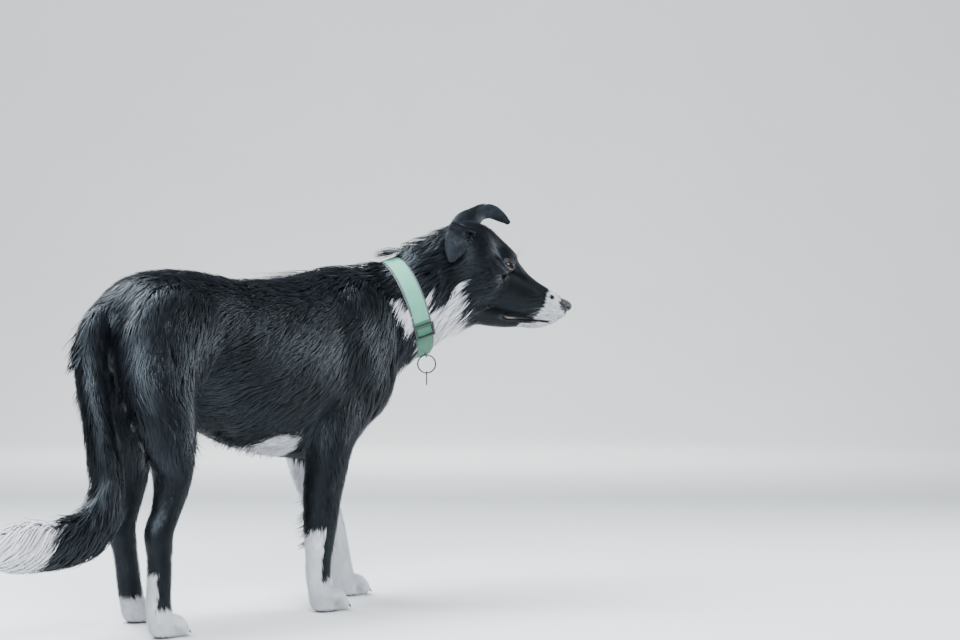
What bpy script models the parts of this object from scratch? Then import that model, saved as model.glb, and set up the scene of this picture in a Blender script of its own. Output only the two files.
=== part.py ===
"""A young border collie, life size, standing and looking to its right.

+X is forward along the trunk, +Y is the dog's left and +Z is up. The tables
below are in millimetres; the model is built in metres. Every shape is the
outside of the coat. The dog is one smooth surface, parted by thin cuts at
its neck, hips, elbows, hocks, tail and ears.
"""

import math

import bmesh
import bpy
import numpy as np
from mathutils import Matrix, Vector

MM = 0.001
GAP = 0.4 * MM
GRID = 3.0 * MM
BODY_TRIANGLES = 3700
FAR = 0.08

# The middle between the eyes, and how the head is turned.
HEAD_AT = (420.6, -122.1, 505.0)
HEAD_YAW = -34.0
HEAD_PITCH = -26.0

# The middle of the collar, and how the neck runs through it.
COLLAR_AT = (289.6, -33.4, 442.2)
NECK_YAW = -29.0
NECK_PITCH = 19.0
STRAP_WIDTH = 25.0
STRAP_THICK = 3.0
STRAP_INSIDE = (67.0, 74.0, 76.0)
STRAP_STEPS = 40

EYE_AT = (-2.0, 25.0, 0.0)
EYE_RADIUS = 10.5
EYE_TURN = 48.0
NOSE_AT = (111.0, 0.0, -10.5)
NOSE_RADII = (12.5, 12.5, 9.5)
LOOP_ANGLE = 254.0
LOOP_RADIUS = 5.0
RING_RADIUS = 13.5
RING_WIRE = 1.1
TAG_RADIUS = 11.0
TAG_HOLE = 2.6

# Each row of a limb: x, y, z, half width, rise, drop, depth of the coat.
TRUNK = (
    (250, -2, 376, 36, 58, 42, 14),
    (225, 0, 370, 58, 98, 80, 14),
    (190, 0, 370, 73, 126, 130, 13),
    (140, 0, 364, 82, 129, 146, 12),
    (80, 0, 358, 86, 124, 138, 10),
    (20, 0, 358, 85, 121, 127, 10),
    (-40, 0, 368, 80, 115, 113, 10),
    (-85, 0, 386, 73, 102, 93, 10),
    (-120, 0, 398, 70, 92, 80, 10),
    (-155, 0, 404, 68, 84, 76, 10),
    (-185, 0, 405, 62, 77, 78, 11),
    (-208, 0, 402, 50, 66, 70, 12),
    (-222, 0, 398, 32, 50, 54, 12),
)
NECK = (
    (381, -97, 489, 44, 82, 56, 12),
    (360, -82, 478, 50, 92, 66, 16),
    (338, -66, 466, 57, 92, 71, 20),
    (316, -52, 456, 63, 92, 70, 22),
    (302, -42, 449, 65.5, 87, 74, 19),
    (293, -36, 444, 66.5, 78, 75, 14),
    (283, -29, 439, 67.5, 76, 77, 12),
    (271, -22, 433, 69.5, 82, 83, 18),
    (256, -14, 427, 71, 88, 89, 20),
    (222, -2, 412, 72, 95, 98, 18),
    (172, 0, 388, 74, 104, 122, 14),
)
RIGHT_FORELEG = (
    (168, -44, 330, 26, 36, 36, 12),
    (140, -52, 288, 30, 42, 42, 11),
    (118, -55, 250, 30, 38, 40, 10),
    (110, -54, 210, 28, 32, 36, 9),
    (104, -52, 165, 25, 27, 32, 8),
    (99, -51, 120, 22, 24, 26, 6),
    (97, -50, 85, 19, 20, 20, 4),
    (96, -50, 55, 18, 18, 19, 3.5),
    (101, -50, 30, 18, 18, 18, 3.5),
)
LEFT_FORELEG = (
    (186, 44, 330, 26, 36, 36, 12),
    (168, 52, 288, 30, 42, 42, 11),
    (166, 55, 250, 30, 38, 38, 10),
    (176, 55, 208, 28, 32, 35, 9),
    (192, 54, 165, 25, 27, 31, 8),
    (211, 53, 122, 22, 24, 26, 6),
    (227, 52, 85, 19, 20, 20, 4),
    (236, 52, 55, 18, 18, 19, 3.5),
    (243, 52, 30, 18, 18, 18, 3.5),
)
RIGHT_HIND_LEG = (
    (-178, -42, 400, 26, 46, 46, 11),
    (-190, -52, 365, 31, 56, 56, 12),
    (-198, -59, 330, 34, 56, 58, 13),
    (-198, -66, 295, 33, 50, 54, 14),
    (-192, -72, 260, 30, 40, 44, 14),
    (-188, -75, 228, 26, 31, 33, 12),
    (-192, -77, 195, 21, 23, 27, 9),
    (-203, -78, 160, 17, 17, 22, 6),
    (-212, -78, 138, 16, 17, 24, 5),
    (-212, -78, 115, 15.5, 16, 20, 4.5),
    (-212, -77, 80, 16, 16, 18, 4),
    (-213, -76, 50, 16.5, 16, 18, 3.5),
    (-210, -75, 28, 17, 17, 18, 3.5),
)
LEFT_HIND_LEG = (
    (-178, 42, 400, 26, 46, 46, 11),
    (-184, 50, 365, 31, 56, 56, 12),
    (-180, 56, 330, 34, 56, 58, 13),
    (-172, 60, 295, 33, 50, 52, 14),
    (-160, 63, 260, 30, 40, 40, 14),
    (-150, 65, 228, 26, 31, 32, 12),
    (-150, 65, 195, 22, 23, 26, 9),
    (-157, 64, 160, 18, 17, 22, 6),
    (-164, 64, 136, 17, 17, 24, 5),
    (-161, 64, 112, 16.5, 16, 20, 4.5),
    (-156, 64, 80, 17, 16, 18, 4),
    (-152, 64, 50, 17, 16, 18, 3.5),
    (-147, 64, 28, 17, 17, 18, 3.5),
)
TAIL = (
    (-222, 0, 430, 20, 22, 22, 10),
    (-248, -3, 417, 20, 27, 21, 11),
    (-267, -11, 390, 19, 29, 18, 12),
    (-279, -24, 345, 20, 29, 19, 13),
    (-282, -34, 300, 20, 23, 20, 14),
    (-279, -42, 250, 20, 24, 23, 15),
    (-276, -48, 205, 20, 25, 25, 16),
    (-287, -51, 171, 22, 26, 36, 17),
    (-314, -52, 151, 24, 27, 43, 18),
    (-353, -51, 143, 25, 29, 43, 19),
    (-395, -52, 139, 25, 34, 39, 20),
    (-430, -52, 135, 22, 33, 34, 20),
    (-458, -52, 131, 12, 18, 20, 12),
)
# x, y of each paw on the floor, its turn in degrees and its size.
PAWS = {
    "forepaw_right": (113, -50, 0, 1.0),
    "forepaw_left": (256, 52, 0, 1.0),
    "hind_foot_right": (-200, -75, 6, 0.94),
    "hind_foot_left": (-136, 64, 0, 0.94),
}
TOES = ((-15.5, 7), (-5.5, 15), (5.5, 15), (15.5, 7))

# The head's own rows: forward, left, up from the middle between the eyes.
NOSE_BRIDGE = (
    (106, 0, -11, 11, 8, 12, 2),
    (84, 0, -9, 11.5, 9, 14, 2),
    (66, 0, -8, 12, 9, 14, 2),
    (47, 0, -5, 13, 9, 14, 2),
    (30, 0, 0, 15, 9, 14, 2.5),
    (17, 0, 6, 18, 9, 14, 3),
    (6, 0, 11, 20, 9, 14, 3),
)
UPPER_MUZZLE = (
    (107, 0, -21, 14, 14, 15, 2),
    (94, 0, -22, 18, 19, 21, 2.5),
    (68, 0, -26, 22.5, 23, 27, 3),
    (38, 0, -29, 27, 28, 34, 3),
    (8, 0, -31, 33, 31, 42, 3.5),
    (-30, 0, -28, 42, 30, 48, 5),
)
LOWER_JAW = (
    (104, 0, -38, 9, 8, 8, 2),
    (92, 0, -45, 13, 10, 12, 2.5),
    (76, 0, -53, 15, 12, 15, 3),
    (58, 0, -58, 17, 14, 16, 3),
    (30, 0, -68, 21, 16, 20, 3),
    (-4, 0, -77, 28, 20, 23, 4),
    (-40, 0, -80, 34, 26, 26, 7),
)
RIGHT_EAR = (
    (-86, -26, 5, 19, 10, 10, 4),
    (-90, -38, 13, 21, 6, 6, 3),
    (-94, -50, 15, 21.5, 4, 4, 1.4),
    (-96, -59, 6, 21.5, 3.7, 3.7, 1.1),
    (-96, -62, -9, 20, 3.5, 3.5, 1.1),
    (-94, -61, -24, 15, 3.3, 3.3, 1.1),
    (-91, -58, -38, 5.5, 2.8, 2.8, 1),
)
LEFT_EAR = (
    (-78, 28, 14, 25, 10, 10, 4),
    (-79, 35, 36, 21, 7.5, 7.5, 3),
    (-70, 40, 54, 16.5, 4.8, 4.8, 1.6),
    (-61, 45, 68, 14.5, 4, 4, 1.2),
    (-46, 49, 76, 12.5, 3.8, 3.8, 1.1),
    (-29, 53, 76, 9.5, 3.5, 3.5, 1.1),
    (-13, 56, 74, 4.5, 2.9, 2.9, 1),
)
# The way each ear's width lies, row by row, in the head's own directions.
RIGHT_EAR_SIDE = ((1, 0, 0.1),) * 7
LEFT_EAR_SIDE = (
    (1, 0, 0),
    (1, 0.1, 0),
    (0.9, 0.3, -0.1),
    (0.7, 0.5, -0.5),
    (0.4, 0.6, -0.9),
    (0.2, 0.6, -1),
    (0.1, 0.6, -1),
)

COLOURS = {
    "black": (0.012, 0.013, 0.016, 0.55, 0.0),
    "white": (0.62, 0.61, 0.60, 0.7, 0.0),
    "eye": (0.03, 0.012, 0.005, 0.08, 0.0),
    "nose": (0.03, 0.03, 0.035, 0.4, 0.0),
    "strap": (0.25, 0.58, 0.44, 0.75, 0.0),
    "slider": (0.03, 0.035, 0.04, 0.4, 0.0),
    "steel": (0.35, 0.34, 0.33, 0.3, 1.0),
}


def unit(v):
    v = np.asarray(v, float)
    return v / np.maximum(np.linalg.norm(v, axis=-1, keepdims=True), 1e-12)


def turned(yaw, pitch):
    """Columns are forward, left and up after a pitch and then a yaw."""
    cy, sy = math.cos(math.radians(yaw)), math.sin(math.radians(yaw))
    cp, sp = math.cos(math.radians(pitch)), math.sin(math.radians(pitch))
    spin = np.array(((cy, -sy, 0), (sy, cy, 0), (0, 0, 1)))
    nod = np.array(((cp, 0, -sp), (0, 1, 0), (sp, 0, cp)))
    return spin @ nod


HEAD_TURN = turned(HEAD_YAW, HEAD_PITCH)
NECK_TURN = turned(NECK_YAW, NECK_PITCH)


def on_head(point):
    return np.array(HEAD_AT) + HEAD_TURN @ np.asarray(point, float)


def on_neck(forward, left, up):
    return np.array(COLLAR_AT) + NECK_TURN @ np.array((forward, left, up), float)


def smooth_curve(rows, count):
    """A curve through the rows, read at even steps along its length."""
    knots = np.r_[0, np.cumsum(np.linalg.norm(np.diff(rows[:, :3], axis=0), axis=1))]
    slope = np.empty_like(rows)
    slope[1:-1] = (rows[2:] - rows[:-2]) / (knots[2:] - knots[:-2])[:, None]
    slope[0] = (rows[1] - rows[0]) / (knots[1] - knots[0])
    slope[-1] = (rows[-1] - rows[-2]) / (knots[-1] - knots[-2])
    at = np.linspace(0, knots[-1], count)
    i = np.clip(np.searchsorted(knots, at, side="right") - 1, 0, len(rows) - 2)
    gap = (knots[i + 1] - knots[i])[:, None]
    t = (at - knots[i])[:, None] / gap
    start = rows[i] * (1 + 2 * t) * (1 - t) ** 2 + slope[i] * gap * t * (1 - t) ** 2
    end = rows[i + 1] * t * t * (3 - 2 * t) + slope[i + 1] * gap * t * t * (t - 1)
    return start + end


class Limb:
    """A rounded body along a curve, wider, taller and deeper row by row."""

    def __init__(self, rows, side=(0, 1, 0), blend=12.0, cup=0.0):
        rows = np.asarray(rows, float).copy()
        rows[:, :6] *= MM
        side = np.broadcast_to(np.asarray(side, float), (len(rows), 3))
        length = np.linalg.norm(np.diff(rows[:, :3], axis=0), axis=1).sum()
        count = int(np.clip(length / 0.006, 8, 70))
        curve = smooth_curve(np.c_[rows[:, :6], side], count)
        self.middle = curve[:, :3]
        self.size = np.maximum(curve[:, 3:6], 0.0005)
        self.along = unit(np.gradient(self.middle, axis=0))
        across = curve[:, 6:] - self.along * (curve[:, 6:] * self.along).sum(1, keepdims=True)
        self.side = unit(across)
        self.up = np.cross(self.side, self.along)
        self.blend = blend * MM
        self.cup = cup
        self.step = np.linalg.norm(np.diff(self.middle, axis=0), axis=1).mean()
        reach = self.size.max() + self.blend + 0.02
        self.low, self.high = self.middle.min(0) - reach, self.middle.max(0) + reach

    def distance(self, points):
        best = np.empty(len(points), int)
        for i in range(0, len(points), 20000):
            near = (self.middle ** 2).sum(1)[None] - 2 * points[i:i + 20000] @ self.middle.T
            best[i:i + 20000] = near.argmin(1)
        offset = ((points - self.middle[best]) * self.along[best]).sum(1) / self.step
        at = np.clip(best + np.clip(offset, -1, 1), 0, len(self.middle) - 1)
        j = np.minimum(at.astype(int), len(self.middle) - 2)
        f = (at - j)[:, None]
        middle, along, side, up, size = (
            a[j] * (1 - f) + a[j + 1] * f
            for a in (self.middle, self.along, self.side, self.up, self.size)
        )
        away = points - middle
        s, u, w = ((away * axis).sum(1) for axis in (side, up, along))
        u = u - self.cup * s * s / size[:, 0]
        a = size[:, 0]
        b = np.where(u > 0, size[:, 1], size[:, 2])
        c = size.min(1)
        w = np.where((at <= 0) | (at >= len(self.middle) - 1), w, 0)
        k0 = np.sqrt((s / a) ** 2 + (u / b) ** 2 + (w / c) ** 2)
        k1 = np.sqrt((s / a ** 2) ** 2 + (u / b ** 2) ** 2 + (w / c ** 2) ** 2)
        return np.maximum(k0 * (k0 - 1) / np.maximum(k1, 1e-9), -c)


class Lump:
    """An ellipsoid, for a muscle, a cheek or a toe pad."""

    def __init__(self, middle, radii, blend=12.0, axes=None):
        self.middle = np.asarray(middle, float) * MM
        self.radii = np.asarray(radii, float) * MM
        self.axes = np.eye(3) if axes is None else np.asarray(axes, float)
        self.blend = blend * MM
        reach = self.radii.max() + self.blend + 0.02
        self.low, self.high = self.middle - reach, self.middle + reach

    def distance(self, points):
        away = (points - self.middle) @ self.axes.T
        k0 = np.linalg.norm(away / self.radii, axis=1)
        k1 = np.linalg.norm(away / self.radii ** 2, axis=1)
        return np.maximum(k0 * (k0 - 1) / np.maximum(k1, 1e-9), -self.radii.min())


def field(shapes, hollows, points):
    """How far each point lies outside the shapes, run smoothly together."""
    total = np.full(len(points), FAR)
    for shape in shapes:
        at = np.flatnonzero(((points > shape.low) & (points < shape.high)).all(1))
        if len(at):
            a, b, k = total[at], shape.distance(points[at]), shape.blend
            h = np.clip(0.5 + 0.5 * (a - b) / k, 0, 1)
            total[at] = a * (1 - h) + b * h - k * h * (1 - h)
    for shape in hollows:
        at = np.flatnonzero(((points > shape.low) & (points < shape.high)).all(1))
        if len(at):
            a, b, k = total[at], -shape.distance(points[at]), shape.blend
            h = np.clip(0.5 - 0.5 * (a - b) / k, 0, 1)
            total[at] = a * (1 - h) + b * h + k * h * (1 - h)
    return total


def head_limb(rows, side=(0, 1, 0), blend=10.0, cup=0.0):
    rows = np.asarray(rows, float).copy()
    rows[:, :3] = np.array(HEAD_AT) + rows[:, :3] @ HEAD_TURN.T
    return Limb(rows, np.asarray(side, float) @ HEAD_TURN.T, blend, cup)


def head_lump(middle, radii, blend=10.0, turn=0.0):
    spin = turned(turn, 0)
    return Lump(on_head(middle), radii, blend, (HEAD_TURN @ spin).T)


def paw_shapes(x, y, turn, size):
    """A pad with four toes side by side."""
    c, s = math.cos(math.radians(turn)), math.sin(math.radians(turn))

    def at(forward, left, up):
        f, l = forward * size, left * size
        return (x + f * c - l * s, y + f * s + l * c, up * size)

    axes = ((c, s, 0), (-s, c, 0), (0, 0, 1))
    shapes = [
        Lump(at(-9, 0, 16), np.array((19, 19, 17)) * size, 8, axes),
        Lump(at(4, 0, 8), np.array((19, 17, 10)) * size, 6, axes),
    ]
    for left, forward in TOES:
        rows = (
            (*at(forward - 21, left * 0.7, 27), 8, 9, 8, 3),
            (*at(forward - 6, left * 0.95, 25), 8.6, 9, 9, 3),
            (*at(forward + 5, left, 19), 8.6, 9, 9, 3),
            (*at(forward + 12, left * 1.02, 11), 8, 8, 8.5, 2.5),
        )
        rows = [(*r[:3], *(v * size for v in r[3:])) for r in rows]
        shapes.append(Limb(rows, (s, -c, 0), 4.5))
    return shapes


def dog_shapes():
    """Every form of the coat's outside, and the few hollows in it."""
    shapes = [
        Limb(TRUNK, blend=30),
        Limb(NECK, tuple(NECK_TURN[:, 1]), 26),
        Lump((214, -4, 346), (44, 42, 56), 26),
    ]
    for hand in (-1, 1):
        shapes += [
            Lump((180, 48 * hand, 380), (54, 34, 92), 30),
            Lump((196, 40 * hand, 322), (36, 33, 44), 26),
            Lump((-172, 44 * hand, 390), (66, 36, 74), 28),
            Lump((-218, 43 * hand, 362), (36, 29, 60), 22),
        ]
    shapes.append(Lump((-234, 0, 424), (26, 24, 22), 20))
    for rows in (RIGHT_FORELEG, LEFT_FORELEG, RIGHT_HIND_LEG, LEFT_HIND_LEG):
        shapes.append(Limb(rows, (0, -1, 0), 26))
    for paw in PAWS.values():
        shapes += paw_shapes(*paw)
    shapes.append(Limb(TAIL, blend=4))
    shapes += [
        head_lump((-57, 0, 2), (52, 46, 42), 14),
        head_lump((-15, 0, 8), (26, 32, 24), 12),
        head_limb(NOSE_BRIDGE, blend=9),
        head_limb(UPPER_MUZZLE, blend=10),
        head_limb(LOWER_JAW, blend=8),
    ]
    for hand in (-1, 1):
        eye = (EYE_AT[0], EYE_AT[1] * hand, EYE_AT[2])
        shapes += [
            head_lump((-38, 32 * hand, -32), (38, 19, 38), 14),
            head_lump((-28, 36 * hand, -12), (32, 9, 11), 10),
            head_lump((-4, 20 * hand, 15), (13, 11, 8.5), 9),
            head_lump(eye, (EYE_RADIUS + 1.6,) * 3, 7),
        ]
    shapes += [
        head_limb(RIGHT_EAR, RIGHT_EAR_SIDE, 6, -0.10),
        head_limb(LEFT_EAR, LEFT_EAR_SIDE, 7, 0.10),
    ]
    hollows = []
    for hand in (-1, 1):
        out = turned(EYE_TURN * hand, 0)
        middle = np.array((EYE_AT[0], EYE_AT[1] * hand, EYE_AT[2])) + out @ (11, 0, 0)
        hollows += [
            Lump(on_head(middle), (5, 9, 6), 2.5, (HEAD_TURN @ out).T),
            Lump((-82, 104 * hand, 302), (46, 32, 52), 22),
        ]
    return shapes, hollows


def split_cells():
    """The 256 corner patterns of a cell whose two sides are not both in one piece."""
    spots = [(i, j, k) for i in (0, 1) for j in (0, 1) for k in (0, 1)]

    def pieces(group):
        left, count = set(group), 0
        while left:
            count += 1
            queue = [left.pop()]
            while queue:
                a = spots[queue.pop()]
                near = [b for b in left if sum(abs(p - q) for p, q in zip(a, spots[b])) == 1]
                left -= set(near)
                queue += near
        return count

    split = np.zeros(256, bool)
    for code in range(256):
        group = [n for n in range(8) if code >> n & 1]
        rest = [n for n in range(8) if not code >> n & 1]
        split[code] = pieces(group) > 1 or pieces(rest) > 1
    return split


def untangle(value, depth):
    """Carve away grid points until every cell is cut by one clean sheet."""
    split = split_cells()
    size = value.shape
    corners = [(i, j, k) for i in (0, 1) for j in (0, 1) for k in (0, 1)]
    for _ in range(40):
        inside = value < 0
        code = np.zeros(tuple(n - 1 for n in size), np.int16)
        for n, c in enumerate(corners):
            part = tuple(slice(c[a], size[a] - 1 + c[a]) for a in range(3))
            code += inside[part].astype(np.int16) << n
        bad = np.argwhere(split[code])
        if not len(bad):
            break
        for c in corners:
            at = tuple((bad + c).T)
            value[at] = np.maximum(value[at], depth)


def surface_nets(value, low, step):
    """Quads round the places where the grid's value changes sign."""
    inside = value < 0
    size = np.array(value.shape)
    corners = [(i, j, k) for i in (0, 1) for j in (0, 1) for k in (0, 1)]

    def shifted(grid, c):
        return grid[tuple(slice(c[a], size[a] - 1 + c[a]) for a in range(3))]

    count = sum(shifted(inside, c).astype(np.int8) for c in corners)
    cells = np.argwhere((count > 0) & (count < 8))
    number = np.full(size - 1, -1, np.int64)
    number[tuple(cells.T)] = np.arange(len(cells))
    total, hits = np.zeros((len(cells), 3)), np.zeros(len(cells))
    for c in corners:
        for axis in range(3):
            if c[axis]:
                continue
            e = np.array(c) + np.eye(3, dtype=int)[axis]
            va, vb = value[tuple((cells + c).T)], value[tuple((cells + e).T)]
            cross = (va < 0) != (vb < 0)
            t = np.where(cross, va / np.where(cross, va - vb, 1), 0)
            point = np.array(c, float) + np.eye(3)[axis] * t[:, None]
            total += np.where(cross[:, None], point, 0)
            hits += cross
    verts = low + (cells + total / hits[:, None]) * step
    faces = []
    for axis in range(3):
        a, b = (axis + 1) % 3, (axis + 2) % 3
        first = tuple(slice(0, -1) if i == axis else slice(None) for i in range(3))
        last = tuple(slice(1, None) if i == axis else slice(None) for i in range(3))
        edge = np.argwhere(inside[first] != inside[last])
        edge = edge[(edge[:, a] > 0) & (edge[:, b] > 0)]
        da, db = np.eye(3, dtype=int)[a], np.eye(3, dtype=int)[b]
        around = (edge - da - db, edge - db, edge, edge - da)
        quad = np.stack([number[tuple(at.T)] for at in around], 1)
        flip = ~inside[tuple(edge.T)]
        quad[flip] = quad[flip][:, ::-1]
        faces.append(quad)
    return verts, np.concatenate(faces)


def skinned(measure, low, high, step):
    """The surface of a measured shape, found coarsely and then finely."""
    low, high = np.asarray(low, float), np.asarray(high, float)
    ratio = 4
    n = np.ceil((high - low) / (step * ratio)).astype(int) + 1
    grid = np.stack(np.meshgrid(*[np.arange(k) for k in n], indexing="ij"), -1)
    rough = measure(low + grid.reshape(-1, 3) * step * ratio).reshape(n)
    fine = rough.repeat(ratio, 0).repeat(ratio, 1).repeat(ratio, 2)[2:, 2:, 2:]
    size = (n - 1) * ratio + 1
    value = np.full(size, FAR)
    part = tuple(slice(0, k) for k in np.minimum(fine.shape, size))
    value[part] = fine[part]
    near = np.argwhere(abs(value) < step * ratio * 1.15 + 0.002)
    value[tuple(near.T)] = measure(low + near * step)
    untangle(value, 0.1 * step)
    verts, faces = surface_nets(value, low, step)
    corners = np.array(((1, -1, -1), (-1, -1, 1), (-1, 1, -1), (1, 1, 1)), float)
    for _ in range(2):
        slope = sum(c * measure(verts + c * 0.0004)[:, None] for c in corners) / 0.0016
        length = np.maximum((slope ** 2).sum(1), 0.2)
        verts = verts - slope * np.clip(measure(verts) / length, -step, step)[:, None]
    return verts, faces


def material(name):
    r, g, b, rough, metal = COLOURS[name]
    made = bpy.data.materials.new(name)
    made.use_nodes = True
    made.diffuse_color = (r, g, b, 1)
    shader = made.node_tree.nodes["Principled BSDF"]
    shader.inputs["Base Color"].default_value = (r, g, b, 1)
    shader.inputs["Roughness"].default_value = rough
    shader.inputs["Metallic"].default_value = metal
    return made


def mesh_object(name, verts, faces, look=None):
    mesh = bpy.data.meshes.new(name)
    mesh.from_pydata([tuple(v) for v in verts], [], [tuple(int(i) for i in f) for f in faces])
    mesh.update()
    obj = bpy.data.objects.new(name, mesh)
    bpy.context.scene.collection.objects.link(obj)
    if look:
        mesh.materials.append(look)
    return obj


def evaluated(obj):
    """The object's mesh with its modifiers applied."""
    graph = bpy.context.evaluated_depsgraph_get()
    return bpy.data.meshes.new_from_object(obj.evaluated_get(graph))


def settle_modifiers(obj):
    mesh = evaluated(obj)
    obj.modifiers.clear()
    obj.data = mesh


def thinned(obj, triangles):
    modifier = obj.modifiers.new("Thin", "DECIMATE")
    count = sum(len(p.vertices) - 2 for p in obj.data.polygons)
    modifier.ratio = min(1.0, triangles / count)
    modifier.use_collapse_triangulate = True
    settle_modifiers(obj)


def boolean(obj, other, how="DIFFERENCE"):
    modifier = obj.modifiers.new("Cut", "BOOLEAN")
    modifier.operation = how
    modifier.solver = "EXACT"
    modifier.object = other
    settle_modifiers(obj)
    bpy.data.objects.remove(other)


def slab(middle, normal, across, wide, tall, thick=GAP / MM):
    """Corners and faces of a thin plate, in metres: a saw cut."""
    normal = unit(normal)
    across = unit(np.asarray(across, float) - normal * np.dot(across, normal))
    third = np.cross(normal, across)
    corners = []
    for n in (-thick / 2, thick / 2):
        for a, b in ((-1, -1), (1, -1), (1, 1), (-1, 1)):
            corners.append(np.asarray(middle) + normal * n + across * wide * a + third * tall * b)
    faces = ((3, 2, 1, 0), (4, 5, 6, 7), (0, 1, 5, 4), (1, 2, 6, 5), (2, 3, 7, 6), (3, 0, 4, 7))
    return np.array(corners) * MM, faces


def gathered(name, pieces):
    verts, faces, base = [], [], 0
    for v, f in pieces:
        verts += [tuple(p) for p in v]
        faces += [tuple(i + base for i in face) for face in f]
        base += len(v)
    return mesh_object(name, verts, faces)


def ring_band(inner, outer, half_width, steps=STRAP_STEPS):
    """A closed band round the neck, its radii given at each angle."""
    verts, faces = [], []
    for i in range(steps):
        angle = 2 * math.pi * i / steps
        for radii, forward in ((inner, -half_width), (outer, -half_width),
                               (outer, half_width), (inner, half_width)):
            tall = radii[1] if math.sin(angle) > 0 else radii[2]
            verts.append(on_neck(forward, radii[0] * math.cos(angle), tall * math.sin(angle)) * MM)
    for i in range(steps):
        here, there = 4 * i, 4 * ((i + 1) % steps)
        for k in range(4):
            n = (k + 1) % 4
            faces.append((here + k, there + k, there + n, here + n))
    return verts, faces


def torus(middle, x_axis, y_axis, radius, wire, turns=20, sides=6, sweep=1.0):
    """A wire ring, or part of one with closed ends, in the plane of two axes."""
    x_axis, y_axis = unit(x_axis), unit(y_axis)
    z_axis = np.cross(x_axis, y_axis)
    whole = sweep >= 1
    rings = turns if whole else turns + 1
    verts, faces = [], []
    for i in range(rings):
        a = 2 * math.pi * sweep * i / turns
        out = x_axis * math.cos(a) + y_axis * math.sin(a)
        for j in range(sides):
            b = 2 * math.pi * j / sides
            spot = out * (radius + wire * math.cos(b)) + z_axis * wire * math.sin(b)
            verts.append((np.asarray(middle) + spot) * MM)
    for i in range(turns):
        here, there = i * sides, ((i + 1) % rings) * sides
        for j in range(sides):
            n = (j + 1) % sides
            faces.append((here + j, there + j, there + n, here + n))
    if not whole:
        faces.append(tuple(range(sides)))
        faces.append(tuple(turns * sides + j for j in reversed(range(sides))))
    return verts, faces


def cut_lines():
    """Thin plates that part the dog where its parts meet."""
    neck = turned(-35, 23)[:, 0]
    cuts = [
        slab((339, -67, 478), neck, (0, 0, 1), 130, 95),
        slab((254, -6, 423), neck, (0, 0, 1), 130, 125),
        slab((-279, -18, 365), (-0.25, -0.25, -0.93), (0, 1, 0), 28, 29),
        slab((-279, -45, 232), (0, -0.15, -1), (0, 1, 0), 36, 36),
        slab((-334, -52, 145), (-1, 0, -0.15), (0, 1, 0), 36, 50),
    ]
    for hand, fore_x, wrist_x, hock_x in ((-1, 124, 97, -208), (1, 166, 233, -161)):
        cuts += [
            slab((fore_x, 57 * hand, 234), (0, -hand, 1), (1, 0, 0), 66, 61),
            slab((wrist_x, 51 * hand, 62), (0, 0, 1), (1, 0, 0), 38, 34),
            slab((-190, 58.6 * hand, 325.8), (0, -0.8 * hand, 1), (1, 0, 0), 105, 74),
            slab((-175, 70 * hand, 222), (0, 0, 1), (1, 0, 0), 62, 36),
            slab((hock_x, 71 * hand, 126), (0.1, 0, 1), (1, 0, 0), 40, 38),
        ]
    forward, left, up = HEAD_TURN.T
    cuts += [
        slab(on_head((-92, -46, 15)), left, forward, 30, 13),
        slab(on_head((-77, 36, 36)), up * 0.92 + left * 0.4, forward, 31, 22),
    ]
    return cuts


def ball(name, middle, radius, axes, scale, look, segments=16, rings=10):
    mesh = bpy.data.meshes.new(name)
    made = bmesh.new()
    bmesh.ops.create_uvsphere(made, u_segments=segments, v_segments=rings, radius=radius * MM)
    grow = Matrix.Diagonal((*scale, 1))
    turn = Matrix([list(row) for row in axes]).to_4x4()
    made.transform(Matrix.Translation(Vector(middle) * MM) @ turn @ grow)
    made.to_mesh(mesh)
    made.free()
    obj = bpy.data.objects.new(name, mesh)
    bpy.context.scene.collection.objects.link(obj)
    if look:
        mesh.materials.append(look)
    return obj


def loose_bodies(obj):
    """The separate closed bodies of a mesh, as vertex and face lists."""
    mesh = obj.data
    parent = list(range(len(mesh.vertices)))

    def root(i):
        while parent[i] != i:
            parent[i] = parent[parent[i]]
            i = parent[i]
        return i

    for edge in mesh.edges:
        a, b = (root(i) for i in edge.vertices)
        parent[a] = b
    groups = {}
    for polygon in mesh.polygons:
        groups.setdefault(root(polygon.vertices[0]), []).append(tuple(polygon.vertices))
    bodies = []
    for faces in groups.values():
        used = sorted({i for face in faces for i in face})
        index = {i: n for n, i in enumerate(used)}
        verts = [tuple(mesh.vertices[i].co) for i in used]
        bodies.append((verts, [tuple(index[i] for i in face) for face in faces]))
    return bodies


# A point well inside each part, by which its body is told from the others.
INSIDE = {
    "head": tuple(on_head((-40, 0, -20))),
    "neck": tuple(on_neck(25, 0, 0)),
    "trunk": (0, 0, 360),
    "tail_root": (-267, -19, 345),
    "tail_bend": (-282, -47, 170),
    "tail_tip": (-395, -52, 137),
    "foreleg_right": (104, -52, 165),
    "foreleg_left": (192, 54, 165),
    "forepaw_right": (104, -50, 25),
    "forepaw_left": (246, 52, 25),
    "thigh_right": (-198, -62, 290),
    "thigh_left": (-172, 60, 290),
    "shank_right": (-203, -78, 170),
    "shank_left": (-154, 64, 175),
    "hind_foot_right": (-213, -76, 60),
    "hind_foot_left": (-154, 64, 60),
    "ear_right": tuple(on_head((-96, -62, -9))),
    "ear_left": tuple(on_head((-46, 49, 76))),
}


def name_bodies(bodies):
    """Give each body the name of the point that lies nearest its middle."""
    named = {}
    for verts, faces in sorted(bodies, key=lambda body: -len(body[0])):
        if len(verts) < 20:
            continue
        points = np.array(verts)
        best, score = None, 1e9
        for name, spot in INSIDE.items():
            if name in named:
                continue
            spot = np.array(spot) * MM
            if ((spot > points.min(0)) & (spot < points.max(0))).all():
                far = np.linalg.norm(points.mean(0) - spot)
                if far < score:
                    best, score = name, far
        if best:
            named[best] = (verts, faces)
    return named


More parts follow.
